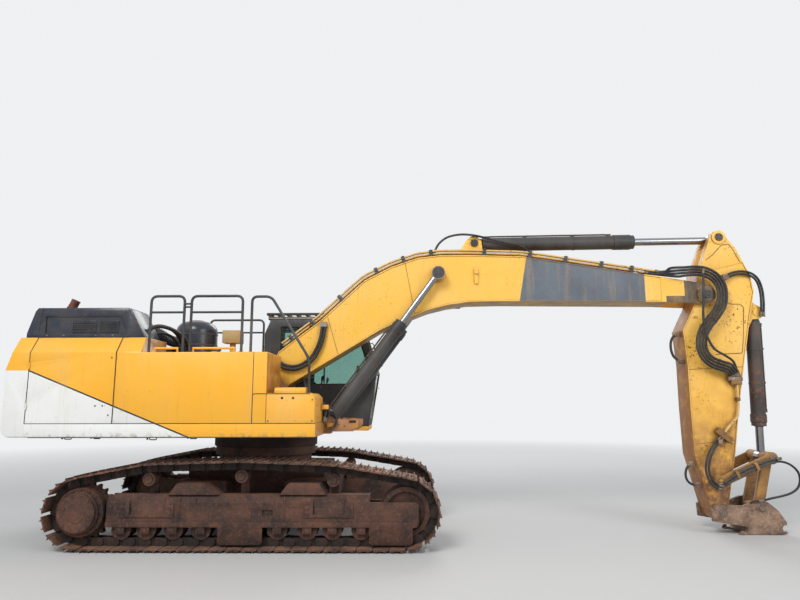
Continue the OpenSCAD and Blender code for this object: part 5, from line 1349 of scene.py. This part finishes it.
def boom_fittings():
    """Caps and grease lines of the boom's pins, its lamp and the bolts on its top."""
    metal, black, lens = shapes(3)
    for s in (-1, 1):
        metal.rod((3200, s * 136, 4545), (3400, s * 136, 4545), 4, 8)
        pin_cap(black, 3300, 4490, s, 147, 62)
        pin_cap(black, 2700, 3940, s, 335, 60, 0)
    black.box((2980, 276, 3560), (3100, 284, 3600), 3)
    black.box((2990, 284, 3480), (3090, 330, 3580), 12)
    lens.box((3084, 290, 3492), (3096, 324, 3568), 5)
    metal.bolts([(2960, 0, 4246), (3560, 0, 4243)], (0, 0, 1), 12, 10, True)
    black.done("boom_caps", "boom", "barrel")
    metal.done("boom_fasteners", "boom", "steel")
    lens.done("boom_lamp", "boom", "lens")


def cylinder_trim(name, body, y, foot, eye, length, r, gland, eye_r, key="barrel"):
    """Bolts round the gland, the pipe along the barrel with its bands, and the rod's wiper."""
    a, b = Vector((foot[0], y, foot[1])), Vector((eye[0], y, eye[1]))
    d = (b - a).normalized()
    up = Vector((-d[2], 0, d[0]))
    barrel, pipes, wiper = shapes(3)
    face = a + d * (length - 60)
    barrel.bolts(circle(face, up, ACROSS, r - 3, 12, 0.5), d, 10, 12)
    barrel.turning(face - d * 3, face + d * 6, [(0, r + 8), (6, r + 8), (9, r + 2)], 32)
    for t in (0.32, 0.62):
        p = a + d * length * t
        barrel.turning(p, p + d * 34, [(0, r - 1), (2, r + 5), (32, r + 5), (34, r - 1)], 36)
        side = p + up * (r + 14)
        barrel.box(side - Vector((20, 30, 14)), side + Vector((20, 30, 14)), 4)
    near, far = eye_r + 90, length - gland - 120
    line = [a + d * along + up * (r + out) for along, out in
            ((near, 12), (near + 60, 22), (far - 60, 22), (far, 12))]
    pipes.tube(rounded_line(line, 0.05), 13, 12)
    front = a + d * (length - 2)
    wiper.turning(front, front + d * 12, [(0, r - 34), (10, r - 36), (12, r - 44)], 28)
    barrel.done(name + "_bands", body, key)
    pipes.done(name + "_pipe", body, key)
    wiper.done(name + "_wiper", body, "seal")


def cylinders():
    for side, s in (("right", -1), ("left", 1)):
        cylinder_trim("boom_cylinder_" + side, "boom_barrel_" + side, s * 400, (1003, 1640),
                      (2700, 3940), 1895, 98, 120, 110)
        cap = Shape()
        pin_cap(cap, 2700, 3940, s, 465, 92)
        cap.done("boom_rod_cap_" + side, "boom_rod_" + side, "barrel")
    cylinder_trim("arm_cylinder", "arm_barrel", 0, (3300, 4490), (7184, 4539), 2600, 112, 270, 115)
    cylinder_trim("bucket_cylinder", "bucket_barrel", 0, (7722, 3342), (7667, 1109), 1770, 105,
                  120, 96, "scuffed")


# Undercarriage: places of the frame's two pockets and two guards
POCKETS = ((-1523, -1034), (946, 1378))
GUARDS = ((-318, 274), (1700, 2280))
ROLLERS = (-1640, -1300, -935, -560, -20, 470, 870, 1205, 1590)
ROLLER_Z = AXLE_Z - WRAP_R + LINK_IN + 110.3


def thirds(x0, x1):
    return x0 + 60, (x0 + x1) / 2, x1 - 60


def undercarriage():
    metal, frames = shapes(2)
    for s in (-1, 1):
        y = s * TRACK_Y
        side = (0, s, 0)
        cover = y + s * (SHOE_W / 2 - 12)
        hub = Vector((-AXLE_X, cover, AXLE_Z))
        metal.bolts(circle(hub, FORWARD, UPWARD, 222, 12, 0.5), side, 13, 10)
        frames.rod(hub - s * 4 * ACROSS, hub + s * 7 * ACROSS, 120, 36, 4)
        out = y + s * 177
        for x0, x1 in POCKETS:
            metal.bolts([(x, out, z) for x in (x0 - 70, x1 + 70) for z in (470, 540, 610)], side,
                        12, 9, True)
            metal.bolts([(x, out, 446) for x in thirds(x0, x1)], side, 10, 8, True)
        for x0, x1 in GUARDS:
            metal.bolts([(x, out, 250) for x in thirds(x0, x1)], side, 14, 10, True)
        for x in ROLLERS:
            if not GUARDS[0][0] < x < GUARDS[0][1]:
                metal.bolts([(x + dx, y + s * 165, ROLLER_Z - 22) for dx in (-42, 42)], side, 11,
                            9, True)
                frames.rod((x, y + s * 163, ROLLER_Z), (x, y + s * 172, ROLLER_Z), 30, 20, 3)
        # cover of the track adjuster's valve and ribs on the frame
        frames.box((620, y + s * 164, 560), (800, y + s * 171, 650), 5)
        metal.bolts([(x, y + s * 171, 605) for x in (640, 780)], side, 9, 7, True)
        for x in (-860, -640, 560):
            frames.box((x, y + s * 164, 380), (x + 16, y + s * 171, 700), 3)
    # bolts of the slewing ring
    metal.bolts(circle(Vector((0, 0, 1292)), FORWARD, ACROSS, 735, 40), (0, 0, -1), 14, 12)
    metal.done("undercarriage_bolts", "undercarriage", "rust")
    frames.done("undercarriage_covers", "undercarriage", "rust")


def ring_cover():
    """Dark sleeve over the slewing ring, in the gap under the house."""
    sleeve = Shape()
    sleeve.turning((0, 0, 1301), (0, 0, 1484), [(0, 781), (6, 785), (150, 785), (183, 784)], 96)
    sleeve.done("slew_sleeve", "house", "chain")


side_seams()
fasteners()
underside()
tread_plates()
handrails()
hood_trim()
intake_side()
side_grilles()
tail_trim()
nose_side()
weld_seams()
arm_pins()
boom_fittings()
cylinders()
undercarriage()
ring_cover()


# Cab
CAB_Y0, CAB_TOP, CAB_FLOOR = 525, 3390, 1555.3
CAB_MID = (CAB_Y0 + SIDE_Y) / 2
SEAT_X, SEAT_Z = 450, CAB_FLOOR + 45.3


def cushion(name, lo, hi, crown=18, channels=(), tilt=None):
    """A crowned pad whose sides pull in between its corners, with sewn channels."""
    bm = bmesh.new()
    bmesh.ops.create_cube(bm, size=2)
    bmesh.ops.subdivide_edges(bm, edges=bm.edges[:], cuts=13, use_grid_fill=True)
    mid = [(lo[i] + hi[i]) / 2 for i in range(3)]
    half = [(hi[i] - lo[i]) / 2 for i in range(3)]
    for v in bm.verts:
        c = v.co.copy()
        flat = max(abs(c[0]), abs(c[1]), abs(c[2]))
        q = c.lerp(c.normalized() * flat * 1.06, 0.24)
        pull = 1 - 0.02 * (1 - abs(c[0]) ** 2) * (1 if abs(c[1]) > 0.9 else 0)
        q = Vector((q[0] * pull, q[1] * pull, q[2]))
        p = Vector([mid[i] + half[i] * q[i] * 0.97 for i in range(3)])
        if c[2] > 0:
            p[2] += crown * (1 - c[0] ** 2) * (1 - c[1] ** 2) * c[2]
            for axis, place in channels:
                p[2] -= 9 * math.exp(-((c[axis] - place) / 0.05) ** 2) * c[2]
        v.co = tilt @ p if tilt else p
    data = bpy.data.meshes.new(name)
    bm.to_mesh(data)
    bm.free()
    data.transform(TO_FRAME)
    piece = finish_piece(name, data, "house", "seat", ("seat",))
    smooth = piece.modifiers.new("smooth", "SUBSURF")
    smooth.levels = smooth.render_levels = 1


def seat():
    x, y, z = SEAT_X, CAB_MID, SEAT_Z
    base = Shape()
    base.box((x - 190, y - 180, z), (x + 190, y + 180, z + 40), 8)
    for i in range(6):
        low = z + 44 + i * 32
        base.box((x - 165 + i * 3, y - 155, low), (x + 165 - i * 3, y + 155, low + 24), 10)
    base.box((x - 200, y - 200, z + 240), (x + 200, y + 200, z + 300), 10)
    base.box((x - 240, y - 230, z + 300), (x + 250, y + 230, z + 345), 14)
    for s in (-1, 1):
        arm = [(x - 250, z + 420), (x - 250, z + 660), (x + 60, z + 660)]
        base.tube(corner_tube([(u, y + s * 262, h) for u, h in arm], 40), 15, 10)
    base.box((x - 300, y - 215, z + 320), (x - 262, y + 215, z + 1060), 12)
    for s in (-1, 1):
        base.rod((x - 282, y + s * 60, z + 1030), (x - 282, y + s * 60, z + 1120), 9, 10)
    base.done("seat_base", "house", "plastic", ("seat",))
    cushion("seat_cushion", (x - 230, y - 245, z + 348), (x + 268, y + 245, z + 462), 16,
            ((0, -0.35), (0, 0.35), (1, -0.62), (1, 0.62)))
    lean = set_at((x - 262, y, z + 462), "Y", 96) @ turned("Z", 180)
    cushion("seat_back", (-5, -240, 4), (590, 240, 92), 14,
            ((0, -0.3), (0, 0.3), (1, -0.6), (1, 0.6)), lean)
    cushion("seat_headrest", (x - 322, y - 140, z + 1075), (x - 236, y + 140, z + 1225), 6)
    for side, s in (("right", -1), ("left", 1)):
        cushion("seat_arm_" + side, (x - 200, y + s * 262 - 34, z + 664),
                (x + 120, y + s * 262 + 34, z + 704), 5)


def console():
    """Consoles beside the seat with their joysticks, travel levers, pedals, mat and screen."""
    body, grips, screen = shapes(3)
    x, y, z = SEAT_X, CAB_MID, SEAT_Z
    form = [(x - 148, z), (x + 300, z), (x + 348, z + 60), (x + 348, z + 480), (x + 300, z + 616),
            (x - 148, z + 560)]
    for s in (-1, 1):
        side = y + s * 335
        body.prism(form, "y", side - 63, side + 63, 12)
        foot, top = Vector((x + 292, side, z + 606)), Vector((x + 318, side, z + 790))
        grips.turning(foot, top, [(0, 44), (12, 40), (24, 42), (36, 30), (50, 18)], 20)
        grips.tube([foot + (top - foot) * t for t in (0.2, 0.5, 0.62, 0.8, 1.0)], 12, 12,
                   [11, 12, 20, 23, 15])
        for k in range(6):
            front = x + 20 + k * 42
            body.box((front, side - 30, z + 590 + k * 3), (front + 28, side + 30, z + 600 + k * 5),
                     3)
    for s in (-1, 1):
        side = y + s * 90
        foot, top = Vector((x + 760, side, z + 2)), Vector((x + 700, side, z + 480))
        grips.tube([foot, foot.lerp(top, 0.5), top], 11, 10)
        grips.rod(top - 26 * ACROSS, top + 26 * ACROSS, 16, 14, 3)
        grips.box((x + 690, side - 50, z + 26), (x + 830, side + 50, z + 40), 5,
                  turned("Y", 20, (x + 760, y, z + 30)))
    wall = CAB_Y0
    body.box((-120, wall + 60, z - 1), (1490, SIDE_Y - 60, z + 6), 2)
    body.tube([(1400, wall + 110, 1990), (1380, wall + 130, 2280), (1370, wall + 140, 2400)],
              14, 10)
    body.box((1350, wall + 70, 2390), (1385, wall + 300, 2560), 10)
    screen.box((1346, wall + 84, 2404), (1351, wall + 286, 2546), 4)
    body.done("cab_consoles", "house", "plastic", ("console",))
    grips.done("cab_levers", "house", "seal", ("console",))
    screen.done("cab_screen", "house", "seal", ("console",))


def pane_seal(shape, points, y):
    """Rubber frame round a pane: x and z of its corners."""
    shape.bead([(x, y, z) for x, z in points + points[:1]], 7, 22)


def cab_trim():
    black, seals, lens, metal, door, pull, base = shapes(7)
    near, far = CAB_Y0, SIDE_Y
    pane_top = CAB_TOP - 170
    pane_seal(seals, [(700, 2250), (1560, 2250), (1610, 2450), (1330, pane_top), (60, pane_top),
                      (60, 2250)], near + 3)
    pane_seal(seals, [(140, 2250), (340, 2250), (340, pane_top), (-60, pane_top), (-60, 2250)],
              far - 3)
    seals.box((800, near + 3, 2262), (822, near + 17, CAB_TOP - 184))
    # handrail on the front pillar and wiper
    metal.tube(corner_tube([(1588, near + 6, 1700), (1618, near + 6, 1700), (1668, near + 6, 2300),
                            (1660, near + 30, 2320)], 24), 13, 10)
    black.tube([(1610, CAB_MID - 80, 1760), (1672, CAB_MID - 60, 2120), (1706, CAB_MID + 20, 2420)],
               8, 8)
    black.box((1696, CAB_MID - 40, 2180), (1712, CAB_MID + 60, 2196), 3)
    # roof's edge, lamps on the guard and blocks below it
    metal.box((-150, near - 2, 3345), (1372, near + 20, 3368), 3)
    for y in (near + 130, far - 170):
        black.box((1290, y - 52, 3352), (1372, y + 52, 3440), 14)
        lens.turning((1366, y, 3396), (1380, y, 3396), [(0, 40), (10, 38), (14, 30)], 24)
    for y in (near + 60, near + 330, far - 380, far - 110):
        black.box((1412, y - 30, 3300), (1440, y + 30, 3330), 5)
    # mirror on the far front corner
    black.tube([(1500, far + 0.5, 3000), (1560, far + 6, 3020), (1600, far + 6, 2960),
                (1600, far + 6, 2760)], 9, 8)
    black.box((1585, far - 60, 2520), (1615, far + 12, 2780), 10)
    metal.bolts([(x, near, z) for x in (60, 760, 1420) for z in (1640, 2200)], (0, -1, 0), 9, 6,
                True)
    seals.box((-205, near + 130, 2310), (-196, far - 130, 2322), 2)
    black.done("cab_fittings", "house", "seal")
    seals.done("cab_seals", "house", "seal")
    lens.done("cab_lamp_lenses", "house", "lens")
    metal.done("cab_rails", "house", "steel")
    door_top = CAB_TOP - 190
    pane_seal(door, [(1480, 2150), (1520, 2450), (1280, door_top), (500, door_top), (500, 2150)],
              far - 3)
    pull.box((560, far, 1960), (700, far + 8, 2030), 6)
    grip = [(590, far + 4), (590, far + 11), (680, far + 11), (680, far + 4)]
    pull.tube(corner_tube([(x, y, 1995) for x, y in grip], 5, 2), 5, 8)
    door.done("cab_door_seal", "cab_door", "seal")
    pull.done("cab_door_handle", "cab_door", "steel")
    # bolts and rails of the cab's base
    base.bolts([(x, SIDE_Y, 1515) for x in (-140, 300, 760, 1220, 1480)], (0, 1, 0), 10, 7, True)
    for x0, x1 in ((120, 420), (900, 1240)):
        base.box((x0, SIDE_Y - 4, 1488), (x1, SIDE_Y + 11, 1498), 3)
    base.done("cab_base_bolts", "house", "steel")


# Coupler
LOCK_X, LOCK_Z, LOCK_LENGTH = 7190, 165, 240
COUPLER_Y = 265


def coupler_detail():
    """Rims, wear pads and bolts of the side plates, and the lock between them."""
    metal, cyl, hoses = shapes(3)
    rim = [(7818, 170), (7706, 344), (7560, 464), (7470, 493), (7392, 484), (7190, 409),
           (6947, 426), (6806, 419), (6732, 380)]
    pads = ([(7560, 24), (7800, 60), (7800, 34), (7716, 6), (7560, 6)],
            [(7100, 6), (7180, 6), (7180, 60), (7130, 60)])
    bolts = ((7260, 330), (7330, 352), (7400, 372), (7260, 260), (7600, 300), (7640, 240))
    for s in (-1, 1):
        y = s * COUPLER_Y
        metal.bead([(x, y - s * 3, z) for x, z in rim], 7)
        for pad in pads:
            metal.prism(pad, "y", y - s * 2, y + s * 9, 2)
        metal.bolts([(x, y, z) for x, z in bolts], (0, s, 0), 13, 10, True)
    front = LOCK_X + LOCK_LENGTH
    cyl.turning((LOCK_X, 0, LOCK_Z), (front, 0, LOCK_Z),
                [(0, 40), (6, 52), (180, 52), (184, 58), (214, 58), (LOCK_LENGTH, 40)], 28)
    cyl.rod((front, 0, LOCK_Z), (7600, 0, LOCK_Z), 26, 20)
    cyl.box((LOCK_X - 60, -60, LOCK_Z - 45), (LOCK_X + 10, 60, LOCK_Z + 45), 8)
    cyl.box((7590, -90, LOCK_Z - 45), (7650, 90, LOCK_Z + 25), 8)
    for y in (-110, 110):
        cyl.box((LOCK_X + 20, y - 12, LOCK_Z - 50), (LOCK_X + 250, y + 12, LOCK_Z + 40), 5)
    for s in (-1, 1):
        route = [(7430, -300, 490), (7350, -290, 486), (7290, -210 - s * 16, 420),
                 (7272, -130 - s * 12, 340), (7265, -70 - s * 12, 270),
                 (7262, -30 - s * 20, LOCK_Z + 40)]
        hoses.tube(spline(route, 7), 13, 10)
    metal.done("coupler_rims", "coupler", "worn")
    cyl.done("coupler_lock", "coupler", "barrel")
    hoses.done("coupler_hoses", "coupler", "rubber")


# Engine bay
BAY_FLOOR = 1666


def engine():
    """Block with heads, manifold and turbo, and the pumps and filters beside it."""
    iron, tubes = shapes(2)
    x0, x1 = BAY_REAR + 235, BAY_FRONT - 265
    iron.box((x0, -480, BAY_FLOOR), (x1, 430, 2180), 20)
    iron.box((x0 + 40, -300, 2180), (x1 - 40, 60, 2380), 16)
    for y in range(-440, 460, 150):
        iron.box((x0 + 70, y, 2376), (x0 + 330, y + 120, 2470), 18)
        iron.rod((x1 - 120, y + 60, 2180), (x1 - 120, y + 60, 2300), 42, 16, 5)
    manifold = [(x1 - 110, -420, 2330), (x1 - 110, 300, 2330), (x1 - 60, 420, 2400),
                (x1 - 200, 520, 2480), (x0 + 200, 560, 2480)]
    tubes.tube(spline(manifold, 6), 55, 16)
    tubes.turning((x0 + 120, -660, 2300), (x0 + 120, -480, 2300),
                  [(0, 60), (20, 130), (110, 150), (160, 120), (180, 60)], 32)
    for z in (1760, 1900, 2040):
        iron.rod((x0 - 1, -300, z), (x0 + 20, -300, z), 46, 20, 4)
    iron.box((x0 + 150, -1180, BAY_FLOOR), (x1 - 100, -720, 1760), 10)
    for y, r in ((-880, 150), (-1110, 120)):
        iron.turning((x0 + 170, y, 1920), (x1 - 110, y, 1920),
                     [(0, r * 0.6), (30, r), (230, r), (250, r * 0.8), (390, r * 0.7)], 28)
        line = [(x0 + 300, y, 2040), (x0 + 320, y, 2200), (x0 + 420, y + 60, 2300),
                (x1 - 60, y + 120, 2320)]
        tubes.tube(spline(line, 6), 34, 14)
    for y in (-1130, -960):
        iron.turning((x1 - 40, y, 2080), (x1 - 40, y, 2248),
                     [(0, 52), (8, 60), (150, 60), (158, 66), (168, 60)], 24)
    iron.done("engine_block", "house", "engine", ("engine",))
    tubes.done("engine_tubes", "house", "exhaust", ("engine",))


def radiator():
    """Core with its fins and tanks, and the fan."""
    core, fan = shapes(2)
    x0, x1, y0, y1 = BAY_REAR + 85, BAY_FRONT - 75, 1002, 1158
    low, high = 1740, 2620
    core.box((x0, y0, BAY_FLOOR), (x1, y1, low), 10)
    core.box((x0, y0, high), (x1, y1, 2700), 10)
    for x in (x0, x0 + 385, x1 - 40):
        core.box((x, y0, low), (x + 40, y1, high), 6)
    for x in range(x0 + 45, x1 - 43, 17):
        core.box((x, y0 + 12, low), (x + 5, y1 - 12, high))
    for z in range(1790, 2600, 66):
        core.box((x0 + 40, y0 + 30, z), (x1 - 40, y1 - 30, z + 8))
    core.done("radiator_core", "house", "engine", ("radiator",))
    middle = Vector(((BAY_REAR + BAY_FRONT) / 2, 0, 2200))
    x, z = middle[0], middle[2]
    fan.rod(middle + 640 * ACROSS, middle + 760 * ACROSS, 80, 24, 8)
    for k in range(9):
        fan.prism([(x - 50, z + 60), (x + 50, z + 60), (x + 95, z + 340), (x - 60, z + 340)], "y",
                  690, 700, 2, turned("Y", k * 40, middle))
    fan.done("fan", "house", "plastic")


seat()
console()
cab_trim()
coupler_detail()
engine()
radiator()


# Floor and light, in metres
FLOOR_NEAR, FLOOR_FAR, FLOOR_HALF = 9.0, 24.0, 90
BACKDROP = (0.86, 0.875, 0.89, 1)
SKY, SKY_STRENGTH = (0.78, 0.82, 0.9, 1), 0.55
# Lamps: place, target, size, watts
LAMPS = {
    "key": ((-6, -14, 14), (0, 0, 1.5), 8, 2050),
    "fill": ((12, -12, 8), (1, 0, 1.5), 10, 820),
    "back": ((2, 14, 12), (0, 0, 1.5), 9, 900),
}


def floor_material():
    """Pale floor that fades into the backdrop far from the machine."""
    n = Nodes("floor")
    speckle = n.mix(n.cloud(60, 3, 0.4, 0.7, 0.0, 0.35), srgb(206, 205, 202), srgb(188, 188, 186))
    n.finish(n.over(speckle, srgb(196, 196, 194), n.cloud(0.35, 3, 0.3, 0.7, 0.0, 0.4)), 0.9)
    far = n.add("ShaderNodeEmission", {"Color": BACKDROP, "Strength": 1.0})
    path = n.add("ShaderNodeLightPath")
    away = n.add("ShaderNodeVectorMath", {0: n.place}, operation="LENGTH").outputs["Value"]
    share = n.times(n.band(away, FLOOR_NEAR, FLOOR_FAR), path.outputs["Is Camera Ray"])
    blend = n.add("ShaderNodeMixShader", {0: share, 1: n.shader.outputs[0], 2: far.outputs[0]})
    n.put(n.tree.nodes["Material Output"].inputs["Surface"], blend.outputs[0])
    return n.material


def make_stage():
    data = bpy.data.meshes.new("floor")
    half = FLOOR_HALF
    corners = [(-half, -half, 0), (half, -half, 0), (half, half, 0), (-half, half, 0)]
    data.from_pydata(corners, [], [(0, 1, 2, 3)])
    floor = add_object("floor", data)
    data.materials.append(floor_material())


def area_light(name, place, target, size, watts):
    data = bpy.data.lights.new(name, "AREA")
    data.shape = "DISK"
    data.size = size
    data.energy = watts
    light = add_object(name, data)
    light.location = place
    light.rotation_mode = "QUATERNION"
    light.rotation_quaternion = (Vector(target) - Vector(place)).to_track_quat("-Z", "Y")


def make_light():
    """Soft sky on the machine; the camera, metal and glass see the backdrop instead."""
    world = bpy.data.worlds.new("studio")
    bpy.context.scene.world = world
    world.use_nodes = True
    tree = world.node_tree

    def add(kind):
        return tree.nodes.new(kind)

    sky, shown = tree.nodes["Background"], add("ShaderNodeBackground")
    for node, colour, strength in ((sky, SKY, SKY_STRENGTH), (shown, BACKDROP, 1.0)):
        node.inputs["Color"].default_value = colour
        node.inputs["Strength"].default_value = strength
    path, mix = add("ShaderNodeLightPath"), add("ShaderNodeMixShader")
    share = path.outputs["Is Camera Ray"]
    for ray in ("Is Glossy Ray", "Is Transmission Ray"):
        either = add("ShaderNodeMath")
        either.operation = "MAXIMUM"
        tree.links.new(share, either.inputs[0])
        tree.links.new(path.outputs[ray], either.inputs[1])
        share = either.outputs[0]
    tree.links.new(share, mix.inputs["Fac"])
    tree.links.new(sky.outputs[0], mix.inputs[1])
    tree.links.new(shown.outputs[0], mix.inputs[2])
    tree.links.new(mix.outputs[0], tree.nodes["World Output"].inputs["Surface"])
    for name, lamp in LAMPS.items():
        area_light(name, *lamp)


make_stage()
make_light()
bpy.context.scene.view_settings.view_transform = "Standard"
